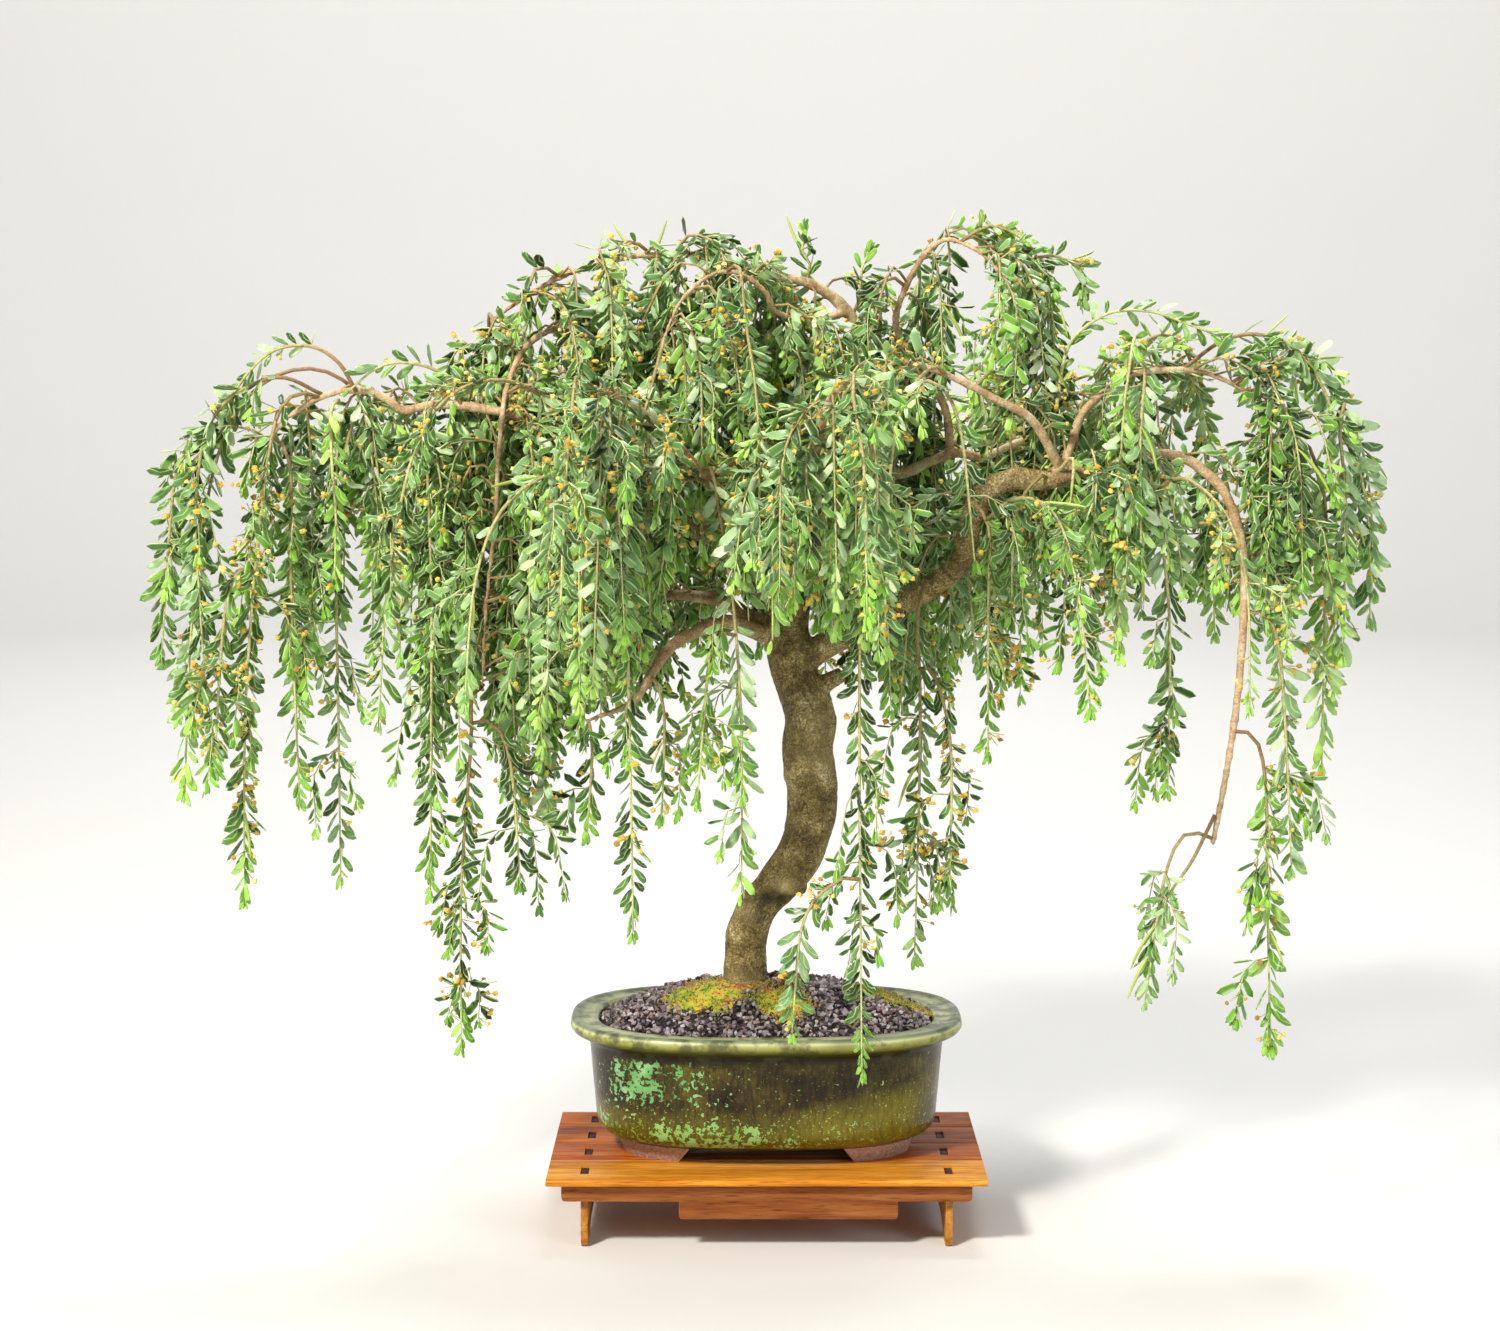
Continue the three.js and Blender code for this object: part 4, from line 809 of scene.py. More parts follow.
def bark():
    # Smooth young wattle bark: olive to grey-brown on the trunk with cross wrinkles, tan on young limbs
    material, add, place = newMaterial("wattleBark", {"Roughness": 0.72})
    straight = add("Attribute", attribute_name="straight").outputs["Vector"]
    girth = add("Attribute", attribute_name="girth")
    broad = add("TexNoise", {"Vector": place, "Scale": 55, "Detail": 6, "Roughness": 0.65})
    crosswise = add("Mapping", {"Vector": straight, "Scale": (38, 38, 400)})
    wrinkles = add("TexNoise", {
        "Vector": crosswise, "Scale": 1, "Detail": 4, "Roughness": 0.6, "Distortion": 0.3})
    fine = add("TexNoise", {"Vector": place, "Scale": 700, "Detail": 3, "Roughness": 0.7})
    young = add("ValToRGB", {"Fac": broad}, [
        (0.30, "#9A7450"), (0.46, "#CDAA80"), (0.60, "#E4CCA4"), (0.75, "#F4E6CC")])
    old = add("ValToRGB", {"Fac": broad}, [
        (0.30, "#5C4E26"), (0.44, "#928044"), (0.56, "#C2AE70"), (0.68, "#EADCAC")])
    thick = add("MapRange", {"Value": girth, "From Min": 4 * mm, "From Max": 9 * mm})
    deep = add("MapRange", {
        "Value": girth, "From Min": 3 * mm, "From Max": 9 * mm, "To Min": 0.3, "To Max": 0.72})
    groove = add("ValToRGB", {"Fac": wrinkles}, [
        (0.32, "#30261C"), (0.43, "#B0A48E"), (0.52, "#FFFFFF")])
    grain = add("ValToRGB", {"Fac": fine}, [
        (0.38, "#4A4022"), (0.50, "#A69A78"), (0.60, "#FFFFFF")])
    # Painted light: what stands out gets a pale painted highlight, and folds get a dark painted shade
    worn = add("Attribute", attribute_name="worn")
    paintedHighlight = add("MapRange", {"Value": worn, "To Max": 0.4})
    paintedFoldShade = add("MapRange", {"Value": worn, "From Min": 0, "From Max": -1, "To Max": 0.85})
    colour = layered(add, young, (thick, old), (deep, groove, "MULTIPLY"), (deep, grain, "MULTIPLY"),
                     (paintedHighlight, "#D6C68E"), (paintedFoldShade, "#22170C"))
    height = add("Math", {0: wrinkles, 1: 1.6, 2: fine}, operation="MULTIPLY_ADD")
    return surfaced(material, colour, height, 0.7, 0.6)


def grownLimbs():
    # One skin over a tube for each limb, so that each runs into the next as living wood does, and a ring
    # every few millimetres: its place and frame, its radius, how far along it is and its limb's number
    bm = newMesh()
    rings = []
    for number, (name, (points, radii)) in enumerate(limbs.items()):
        path = spacedLine(limbPoints[name], wood["step"] * mm)

        def radiusAt(along, path=path, radii=radii, number=number):
            radius = between(radii, along)
            angle = 2 * math.pi * along * path["reach"] / (wood["knotEvery"] * mm)
            swell = max(0, math.cos(angle + number))
            knot = wood["knot"] * swell ** 6 if radius < wood["knotBelow"] else 0
            return (radius + knot) * mm

        addTube(bm, path, wood["sides"], radiusAt)
        close = spacedLine(limbPoints[name], wood["ringStep"] * mm)
        count = len(close["line"]) - 1
        for k, (point, axes) in enumerate(zip(close["line"], close["frames"])):
            rings.append((point, axes, between(radii, k / count) * mm, k * close["step"], number))
    grown = putInScene("grownLimbs", asMesh(bm, "grownLimbs"))
    skin = grown.modifiers.new("oneSkin", "REMESH")
    skin.mode, skin.voxel_size = "VOXEL", wood["voxel"] * mm
    mesh = bpy.data.meshes.new_from_object(grown.evaluated_get(bpy.context.evaluated_depsgraph_get()))
    bpy.data.objects.remove(grown)
    return mesh, rings


def makeWood():
    mesh, rings = grownLimbs()
    bm = bmesh.new()
    bm.from_mesh(mesh)
    bpy.data.meshes.remove(mesh)
    for _ in range(wood["smoothing"]):
        bmesh.ops.smooth_vert(bm, verts=bm.verts, factor=0.5,
                              use_axis_x=True, use_axis_y=True, use_axis_z=True)
    tree = treeOf([ring[0] for ring in rings])
    girth = bm.verts.layers.float.new("girth")
    straight = bm.verts.layers.float_vector.new("straight")
    worn = bm.verts.layers.float.new("worn")
    bm.normal_update()
    moves = []
    stumps = [name in stubs for name in limbs]
    for vert in bm.verts:
        near = min(tree.find_n(vert.co, 6), key=lambda found: abs(found[2] - rings[found[1]][2]))
        point, (tangent, side, across), radius, along, number = rings[near[1]]
        out = vert.co - point
        out -= tangent * out.dot(tangent)
        out.normalize()
        unrolled = Vector((out.dot(side) * radius, out.dot(across) * radius, along + 0.37 * number))
        vert[girth] = max(radius, wood["stumpGirth"] * mm) if stumps[number] else radius
        vert[straight] = unrolled
        bulk = clamp((radius / mm - wood["thin"]) / (wood["thick"] - wood["thin"]))
        ridgeSize = (wood["ridgeWide"], wood["ridgeWide"], wood["ridgeEvery"])
        ridges = noise.noise(Vector([part / (size * mm) for part, size in zip(unrolled, ridgeSize)]))
        lumps = noise.noise(vert.co / (wood["lumpSize"] * mm))
        lift = bulk * (wood["ridge"] * min(ridges, wood["ridgeMost"]) + wood["lump"] * lumps)
        lift += wood["thinLift"] * (1 - bulk)
        for place, reach, swell in swellings:
            away = (vert.co / mm - Vector(place)).length
            part = swell * math.exp(-(away / reach) ** 2)
            lift += part
            # Each swelling adds to the bark's painted highlight where it stands out and to its painted
            # shade where it folds in
            vert[worn] = clamp(vert[worn] + part / wood["reliefLightAt"], -1, 1)
        moves.append((vert, vert.normal * lift * mm))
    for vert, move in moves:
        vert.co += move
    mesh = asMesh(bm, "wattleWood")
    print("wood:", len(mesh.polygons), "faces")
    addPiece("wattleWood", mesh, [bark()], ["wood"])


makeWood()
print("wood made")

# Leafy shoots. Each has a limb, the place on it, and its strands: the tip each hangs to, how far it
# rises first, and for a side strand the place on the first one where it forks off.
sprays = {
    "left_crest": ("left", 0.74, [((-412, -78, 331), 30), ((-430, -60, 426), 6, 0.34)]),
    "left_outer": ("left", 0.83, [((-365, -112, 261), 10), ((-382, -126, 354), 6, 0.4)]),
    "left_tail": ("left", 0.99, [((-329, -90, 326), 2)]),
    "left_middle": ("left", 0.70, [((-307, -48, 264), 12), ((-352, 92, 372), 24, 0.16)]),
    "left_inner": ("left", 0.53, [((-240, -70, 258), 14), ((-246, 128, 352), 26, 0.16)]),
    "brown_stem_tip": ("leftUp", 0.995, [((-218, -80, 147), 1), ((-174, -92, 268), 6, 0.12)]),
    "brown_stem_side": ("leftUp", 0.89, [((-156, -66, 312), 8)]),
    "brown_stem_top": ("leftUp", 0.62, [((-133, -74, 431), 16), ((-262, -172, 392), 22, 0.16)]),
    "low_left_tip": ("lowerFront", 0.995, [((-128, -66, 299), 4)]),
    "low_left_side": ("lowerFront", 0.67, [((-75, -60, 311), 6)]),
    "low_back_left": ("lowerBack", 0.995, [((-162, 104, 320), 10)]),
    "front_left_long": ("frontLeft", 0.82, [((-92, -152, 244), 10), ((-200, -212, 410), 16, 0.16)]),
    "front_left_pair": ("frontLeft", 0.50, [((-18, -124, 266), 8), ((-48, -142, 334), 6, 0.42)]),
    "front_left_end": ("frontLeft", 0.995, [((-136, -232, 453), 14)]),
    "pot_front": ("frontMiddle", 0.75, [((66, -130, 139), 18), ((17, -140, 171), 4, 0.72)]),
    "front_middle_pair": ("frontMiddle", 0.61, [((3, -182, 448), 8)]),
    "front_middle_end": ("frontMiddle", 0.995, [((63, -260, 471), 14)]),
    "right_low_pair": ("right", 0.18, [((106, -64, 209), 6), ((130, -78, 267), 8, 0.25)]),
    "right_bend": ("right", 0.31, [((155, -92, 360), 12), ((214, -196, 404), 30, 0.16)]),
    "right_short": ("right", 0.47, [((170, -98, 453), 8)]),
    "right_hanging_short": ("right", 0.53, [((247, -92, 431), 6)]),
    "right_hanging_long": ("right", 0.56, [((281, -96, 334), 8), ((322, -184, 404), 22, 0.16)]),
    "right_tail_left": ("right", 0.995, [((268, -92, 183), 12)]),
    "right_tail_long": ("right", 0.91, [((357, -94, 151), 6)]),
    "right_tail_upper": ("right", 0.82, [((369, -96, 279), 8)]),
    "right_outer": ("rightUp", 0.75, [((440, -18, 487), 30), ((412, -48, 424), 6, 0.45),
                                      ((392, 98, 400), 24, 0.16)]),
    "right_outer_tail": ("rightUp", 0.995, [((402, -30, 343), 4)]),
    "right_front": ("rightUp", 0.43, [((257, -120, 492), 26), ((338, 64, 430), 26, 0.16)]),
    "right_back_pair": ("rightBack", 0.64, [((79, -158, 439), 12), ((140, -150, 499), 10, 0.2)]),
    "peak_arch": ("topRight", 0.77, [((205, -22, 640), 20), ((228, -2, 677), 4, 0.5)]),
    "peak_tail": ("topRight", 0.995, [((189, -42, 585), 8)]),
    "peak_left": ("topRight", 0.45, [((57, -14, 555), 14)]),
    "arch_tail": ("arch", 0.995, [((-81, -108, 441), 2)]),
    "arch_crest": ("arch", 0.56, [((-5, -98, 496), 10)]),
    "crown_right": ("leader", 0.57, [((-40, 30, 576), 24)]),
    "crown_middle": ("leader", 0.77, [((-122, -40, 577), 18)]),
    "crown_left": ("leader", 0.90, [((-186, -36, 556), 16)]),
    "crown_end": ("leader", 0.995, [((-212, 24, 491), 10)]),
    "upright_left": ("leader", 0.51, [((28, 20, 727), 0)]),
    "upright_right": ("leader", 0.42, [((74, 26, 712), 0)]),
    "middle_right_end": ("middle", 0.995, [((300, 190, 436), 18), ((233, 172, 406), 8, 0.3)]),
    "middle_right": ("middle", 0.71, [((182, 128, 411), 18), ((146, 118, 430), 10, 0.12)]),
    "back_right_end": ("backRight", 0.995, [((269, 256, 406), 16), ((193, 246, 358), 8, 0.3),
                                            ((120, 206, 425), 10, 0.12)]),
    "back_middle_end": ("backMiddle", 0.995, [((-4, 262, 397), 12), ((50, 240, 358), 8, 0.25),
                                              ((66, 164, 402), 8, 0.1)]),
    "back_left_end": ("backLeft", 0.995, [((-216, 244, 399), 16), ((-260, 168, 438), 10, 0.2)]),
    "back_left": ("backLeft", 0.75, [((-133, 214, 337), 14), ((-40, 172, 410), 12, 0.1)]),
}
blade = {"length": 16.8, "width": 6.8, "thickness": 0.6, "droop": 1.8, "curls": (-0.6, 0, 0.6)}
head = {
    "radius": 2.2, "stalk": (5, 12), "stalkRadius": 0.4, "uneven": 0.95, "shapes": (1, 5, 9),
    "cluster": (1, 2, 3, 4, 5), "spent": 0.42, "room": 6,
}
seedPod = {"length": 34, "radius": 1.25, "curl": 8, "age": 0.8}
growth = {
    "step": 12, "leafEvery": 4.6, "tipEvery": 3.2, "leanOld": 0.8, "leanTip": 0.42, "leanVaries": 0.16,
    "twist": 0.6, "spinVaries": (0.6, 0.45), "sag": 0.12, "leafSize": (0.66, 1.22), "tintVaries": 0.2,
    "tipZone": (12, 60), "bare": 0.08, "stemRadii": [1.5, 1.25, 1.0, 0.6], "sideRadii": [0.7, 0.55, 0.4],
    "sideEvery": 48, "sideLength": (20, 58), "bloom": (0.04, 0.08, 0.18, 0.42), "sway": 4, "seed": 41,
    "never": 1e6,                            # a shoot without side shoots has one every kilometre
    "strayOver": 0.12,                       # how many leaves may lie across wood that stays in sight
}
# Shoots that grow in a way of their own, mostly bare and brown where they leave the wood
habits = {
    "left_crest": {"bare": 0.22, "stemAge": 0.0, "leafSize": 1.15, "young": 0.1},
    "left_outer": {"leafSize": 1.1, "fresh": 1.1, "young": 0.2}, "left_tail": {"fresh": 1.1, "young": 0.3},
    "right_outer": {"leafSize": 1.15, "fresh": 0.9, "tone": 0.75},
    "right_front": {"leafSize": 1.05, "tone": 0.7}, "right_outer_tail": {"leafSize": 1.15, "tone": 0.8},
    "right_tail_upper": {"leafSize": 1.1, "tone": 0.7},
    "right_bend": {"fresh": 1.1, "young": 0.2}, "right_tail_left": {"bare": 0.42, "fresh": 0.2},
    "right_tail_long": {"bare": 0.16, "stemAge": 0.0}, "brown_stem_tip": {"bare": 0.2, "stemAge": 0.0},
}
freshTwig = {"bare": 0.15, "fresh": 1.1, "young": 0.7, "stemAge": 0.6}
branchlets = [  # slender twigs: their points, and how each grows unlike branchletHabit
    ([(316, -86, 315), (300, -90, 283), (286, -90, 262), (274, -90, 237), (268, -90, 208)], {}),
    ([(60, 10, 520), (92, 20, 519), (114, 20, 514), (136, 20, 522)], {}),
    ([(-288, -68, 612), (-300, -74, 633), (-320, -76, 644), (-347, -76, 639), (-371, -76, 613),
      (-384, -76, 580)], {"bare": 0.3, "bloom": 0.4}),
    ([(-312, -66, 610), (-337, -80, 622), (-361, -82, 616), (-380, -82, 602), (-394, -82, 575),
      (-400, -82, 522), (-398, -82, 466), (-396, -80, 410)], {"bare": 0.2, "bloom": 0.3, "leafSize": 1.15}),
    ([(-214, -56, 600), (-228, -66, 624), (-250, -70, 632), (-272, -72, 629), (-292, -74, 613)],
     {"bare": 0.35, "bloom": 0.3}),
    ([(204, -56, 600), (212, -45, 640), (226, -45, 658), (246, -45, 668), (272, -45, 668), (296, -45, 660),
      (322, -45, 650)], {"bare": 0.1, "fresh": 0.9, "young": 0.3, "stemAge": 0.5}),
    ([(296, -30, 627), (325, -32, 648), (352, -32, 652), (378, -32, 641), (396, -32, 616), (408, -32, 586),
      (424, -32, 556), (432, -32, 510), (434, -32, 450)], {"bare": 0.15, "bloom": 0.2, "leafSize": 1.15}),
    ([(252, -42, 621), (256, -72, 648), (252, -92, 640), (247, -96, 604), (245, -97, 566), (243, -98, 520)],
     freshTwig | {"bare": 0.12}),
    ([(205, -66, 556), (213, -86, 566), (211, -94, 540), (205, -95, 500)],
     freshTwig),
    ([(-301, -64, 606), (-304, -82, 598), (-303, -86, 557), (-301, -86, 522), (-303, -86, 479)],
     freshTwig),
]
raisedPods = [  # seed pods that stand up out of the crown: place and direction
    ((354, -33, 651), (0.75, 0, 0.66)), ((213, -44, 650), (-0.25, 0, 1)), ((-96, -8, 709), (-0.5, 0, 0.8)),
    ((-80, -6, 710), (0.3, 0, 0.9)),
]
branchletHabit = {
    "leaf": "leaf", "radii": [1.5, 1.3, 1.0, 0.7], "sides": 6, "sideEvery": growth["never"],
    "bare": 0.5, "bloom": 0.1, "tipZone": 15 * mm, "fresh": 0.4, "young": 0.05, "tone": 0.6,
    "stemAge": 0.0, "leafSize": 0.9,
}
fill = {
    "spacing": 9.3, "reach": (16, 80), "rise": (3, 24), "drop": (70, 250), "tries": 7, "seed": 17,
    "forward": 0.6, "low": 0.7, "shortest": 30,
    "stemRadii": [1.1, 0.95, 0.8, 0.45], "sideEvery": 75, "room": ((-438, 434), (-262, 266)),
    # How low the leafy curtain hangs at each place across the tree
    "curtain": [(-450, 320), (-350, 330), (-305, 420), (-260, 370), (-200, 315), (-130, 360), (-60, 405),
                (0, 445), (50, 440), (95, 365), (150, 375), (185, 480), (260, 470), (330, 450), (450, 420)],
}
# Stretches of wood that stay in sight from the front: limb, from and to as parts of its points
inSight = [
    ("left", 0.46, 1.0), ("leftUp", 0.44, 1.0), ("arch", 0.24, 0.95), ("leader", 0.43, 0.52),
    ("topRight", 0.0, 0.11), ("topRight", 0.33, 0.80), ("rightBack", 0.0, 0.66), ("rightUp", 0.0, 0.22),
    ("rightUp", 0.46, 0.76), ("right", 0.16, 0.49), ("right", 0.59, 1.0), ("middle", 0.14, 0.72),
    ("lowerBack", 0.1, 0.62), ("lowerFront", 0.1, 1.0), ("trunk", 0.0, 0.9),
]
sightMargin = {"leaf": 5.5, "head": 3, "shoot": 9}


def asSeen(point):
    # Where a point lies in the camera's view, in metres at the trunk's distance, and how far off it is
    eye = Vector(cameraView["place"]) * mm
    tilt = math.radians(cameraView["tilt"])
    off = point - eye
    depth = off.y * math.cos(tilt) - off.z * math.sin(tilt)
    up = off.z * math.cos(tilt) + off.y * math.sin(tilt)
    scale = -eye.y / depth
    return Vector((off.x * scale, up * scale, 0)), depth


def makeSight():
    spots = []
    for name, start, end in inSight:
        count = round(40 * (end - start)) + 8
        for i in range(count + 1):
            along = start + (end - start) * i / count
            seen, depth = asSeen(curvePoint(limbPoints[name], along))
            spots.append((seen, depth, between(limbs[name][1], along) * mm))
    return treeOf([spot[0] for spot in spots]), spots


sightTree, sightSpots = makeSight()


def hidesWood(point, what="leaf"):
    # Whether foliage here would stand before a stretch of wood that has to stay in sight
    seen, depth = asSeen(point)
    place, i, distance = sightTree.find(seen)
    spot = sightSpots[i]
    return depth < spot[1] and distance < spot[2] + sightMargin[what] * mm


def leafTemplate(rings, curl):
    # A phyllode: a three-cornered tube pressed flat, two corners its margins and one its midrib
    bm = newMesh()
    bmesh.ops.create_uvsphere(bm, u_segments=3, v_segments=rings, radius=1)
    bmesh.ops.recalc_face_normals(bm, faces=bm.faces)
    uv = bm.loops.layers.uv.new("blade")
    margin = {vert: round(vert.co.y * 1.15) for vert in bm.verts}
    for edge in bm.edges:
        sides = {margin[vert] for vert in edge.verts}
        edge.smooth = not (sides <= {0, 1} and 1 in sides or sides <= {0, -1} and -1 in sides) or (
            abs(edge.verts[0].co.z - edge.verts[1].co.z) < 0.01)
    for vert in bm.verts:
        along = ((1 - vert.co.z) / 2) ** 0.86
        vert.co = Vector((
            vert.co.y * (1 + 0.3 * along) * blade["width"] / 2 + curl * 3 * along * along,
            along * blade["length"],
            (vert.co.x + 0.5) * blade["thickness"] - blade["droop"] * along * along)) * mm
    for face in bm.faces:
        for loop in face.loops:
            loop[uv].uv = (0.5 + 0.5 * margin[loop.vert], loop.vert.co.y / (blade["length"] * mm))
    return asMesh(bm, "phyllode")


def ballTemplate(seed):
    # A small uneven ball; the material gives it its fluff
    bm = newMesh()
    bmesh.ops.create_icosphere(bm, subdivisions=1, radius=1)
    for vert in bm.verts:
        vert.co *= 1 + head["uneven"] * noise.noise(vert.co * 5 + Vector((seed, 0, 0)))
    return asMesh(bm, "flowerHead", smooth=False, finish=2)


def stalkTemplate():
    bm = newMesh()
    bmesh.ops.create_cone(bm, segments=3, radius1=1, radius2=0.8, depth=1, cap_ends=True, cap_tris=False)
    bmesh.ops.translate(bm, verts=bm.verts, vec=(0, 0, 0.5))
    return asMesh(bm, "stalk", finish=1)


def podTemplate():
    bm = newMesh()
    bmesh.ops.create_uvsphere(bm, u_segments=5, v_segments=7, radius=1)
    for vert in bm.verts:
        along = (1 - vert.co.z) / 2
        vert.co = Vector((vert.co.x * seedPod["radius"], along * seedPod["length"],
                          vert.co.y * seedPod["radius"] - seedPod["curl"] * along * along)) * mm
    bmesh.ops.recalc_face_normals(bm, faces=bm.faces)
    return asMesh(bm, "seedPod", finish=3)


templates = {
    "leaf": [leafTemplate(4, curl) for curl in blade["curls"]],
    "smallLeaf": [leafTemplate(3, curl) for curl in blade["curls"]],
    "ball": [ballTemplate(seed) for seed in head["shapes"]], "stalk": stalkTemplate(), "pod": podTemplate(),
}


def shootLine(root, tip, rise, number):
    # Rises from its root, arches over and hangs to its tip, with a slight sway; all in metres
    out = Vector((tip.x - root.x, tip.y - root.y, 0))
    lift = root + out * 0.35
    lift.z += 1.3 * rise + max(0, (tip.z - root.z) / 3)
    turn = root + out * 0.98
    turn.z = max(root.z + 0.7 * rise, tip.z - (tip.z - root.z) / 3)

    def arched(t):
        return root * (1 - t) ** 3 + lift * 3 * t * (1 - t) ** 2 + turn * 3 * t * t * (1 - t) + tip * t ** 3

    arch = [arched(i / 100) for i in range(101)]
    reach = sum((b - a).length for a, b in zip(arch, arch[1:]))
    count = max(3, round(reach / (46 * mm)))
    points = []
    for i in range(count + 1):
        t = i / count
        sway = growth["sway"] * mm * math.sin(math.pi * t)
        aside = Vector((sway * math.sin(7 * t + number), sway * math.cos(5 * t + 2 * number), 0))
        points.append(arched(t) + aside)
    return spacedLine(points, growth["step"] * mm)


def basis(along, up, place, size):
    # The matrix that lays a leaf or a pod along a direction, with its upper side up
    matrix = Matrix((along.cross(up) * size, along * size, up * size)).transposed().to_4x4()
    matrix.translation = place
    return matrix


def outFrom(axes, spin):
    # Straight out from a stem, at an angle round it
    return axes[1] * math.cos(spin) + axes[2] * math.sin(spin)


def growLeaf(bm, chance, kind, point, axes, spin, lean, size, age, tint):
    tangent, radial = axes[0], outFrom(axes, spin)
    along = tangent * math.cos(lean) + radial * math.sin(lean)
    along.z -= growth["sag"]
    along.normalize()
    middle = point + along * (0.6 * size * blade["length"] * mm)
    if hidesWood(middle) and chance.random() > growth["strayOver"]:
        return
    up = tangent.cross(radial)
    up = (up - along * up.dot(along)).normalized()
    up = Matrix.Rotation(chance.gauss(0, growth["twist"]), 3, along) @ up
    matrix = basis(along, up, point + radial * 0.8 * mm, size)
    putCopy(bm, chance.choice(templates[kind]), matrix, age, tint)


def growHead(bm, chance, point, axes, spin, spent):
    # A flower head on its stalk, or the bare stalk that a spent one leaves
    along = (axes[0] * 0.5 + outFrom(axes, spin) + threeOf(chance.uniform, -0.45, 0.45)).normalized()
    if hidesWood(point + along * head["room"] * mm, "head"):
        return
    length, thin = chance.uniform(*head["stalk"]) * mm, head["stalkRadius"] * mm
    turn = pointing(point, along)
    putCopy(bm, templates["stalk"], turn @ Matrix.Diagonal((thin, thin, length, 1)), 0.8, chance.random())
    if spent:
        return
    size = head["radius"] * mm * chance.uniform(0.65, 1.1)
    ball = Matrix.Diagonal((size, size * chance.uniform(0.8, 1.15), size * chance.uniform(0.8, 1.1), 1))
    matrix = turn @ Matrix.Translation((0, 0, length + 0.5 * size)) @ ball
    putCopy(bm, chance.choice(templates["ball"]), matrix, chance.random(), chance.random())


def growStrand(bm, chance, path, habit, number):
    # A stem with leaves to both sides, flower heads in some axils, and new growth at its tip
    reach = path["reach"]
    ages, tints = bm.verts.layers.float["age"], bm.verts.layers.float["tint"]
    for vert, along in addTube(bm, path, habit["sides"], lambda along: between(habit["radii"], along) * mm):
        vert[ages] = habit["stemAge"] + (1 - habit["stemAge"]) * along ** 1.4
        vert[tints] = habit["tone"]
    planeVaries, spinVaries = growth["spinVaries"]
    s, k = habit["bare"] * reach + 2 * mm, 0
    while s < reach:
        fresh = clamp(1 - (reach - s) / habit["tipZone"])
        point, axes = alongLine(path, s)
        # Leaves stand mostly to the left and right of a stem, as the front sees it
        plane = math.atan2(axes[2].x, axes[1].x) + chance.gauss(0, planeVaries)
        spin = plane + math.pi * (k % 2) + chance.gauss(0, spinVaries)
        lean = growth["leanOld"] + (growth["leanTip"] - growth["leanOld"]) * fresh
        lean += chance.gauss(0, growth["leanVaries"])
        size = (1 - 0.4 * fresh ** 1.5) * chance.uniform(*growth["leafSize"]) * habit["leafSize"]
        age = clamp(habit["fresh"] * fresh + habit["young"] + chance.uniform(-0.12, 0.12))
        tint = clamp(habit["tone"] + chance.gauss(0, growth["tintVaries"]))
        growLeaf(bm, chance, habit["leaf"], point, axes, spin, lean, size, age, tint)
        if chance.random() < habit["bloom"] * (1 - 0.7 * fresh):
            for _ in range(chance.choice(head["cluster"])):
                aside = chance.uniform(-0.8, 0.8)
                growHead(bm, chance, point, axes, spin + aside, chance.random() < head["spent"])
        gap = growth["leafEvery"] + (growth["tipEvery"] - growth["leafEvery"]) * fresh
        s += gap * chance.uniform(0.75, 1.25) * mm
        k += 1
    point, axes = alongLine(path, reach)
    for k in range(3):
        size = 0.55 * chance.uniform(0.8, 1.2)
        growLeaf(bm, chance, habit["leaf"], point, axes, 2.1 * k + spin, 0.25, size,
                 min(habit["fresh"] + habit["young"], 1), habit["tone"])
    for _ in range(round(reach / (habit["sideEvery"] * mm))):
        growTwig(bm, chance, path, habit, number)


def growTwig(bm, chance, path, habit, number):
    # A short leafy side shoot
    root, axes = alongLine(path, path["reach"] * chance.uniform(0.1, 0.85))
    radial = outFrom(axes, chance.uniform(0, 6.3))
    length = min(chance.uniform(*growth["sideLength"]) * mm, 0.5 * path["reach"])
    along = (axes[0] * 0.8 + radial * 0.75).normalized()
    tip = root + along * length * 0.85 + Vector((0, 0, -0.35 * length))
    if hidesWood(tip, "shoot") or not inRoom(tip):
        return
    twig = habit | {
        "leaf": "smallLeaf", "radii": growth["sideRadii"], "sides": 3, "sideEvery": growth["never"],
        "bare": 0.1, "bloom": habit["bloom"] * 1.2, "tipZone": length * chance.uniform(0.3, 0.9),
        "stemAge": 0.5, "leafSize": habit["leafSize"] * 0.88}
    growStrand(bm, chance, shootLine(root, tip, 2 * mm, number), twig, number)


def inRoom(point):
    (left, right), (front, back) = fill["room"]
    return left * mm < point.x < right * mm and front * mm < point.y < back * mm


def newHabit(chance, leaf, radii, sides, sideEvery):
    # How one shoot grows: a few are all young and bright, a few are thick with flowers
    young = chance.random() < 0.13
    return {
        "leaf": leaf, "radii": radii, "sides": sides, "sideEvery": sideEvery, "bare": growth["bare"],
        "bloom": chance.choice(growth["bloom"]), "tipZone": chance.uniform(*growth["tipZone"]) * mm,
        "fresh": chance.choice((0.25, 0.5, 0.9, 1.1)), "young": 0.5 if young else chance.uniform(0, 0.15),
        "tone": chance.uniform(0.15, 0.85), "stemAge": 0.1, "leafSize": chance.uniform(0.85, 1.1),
    }


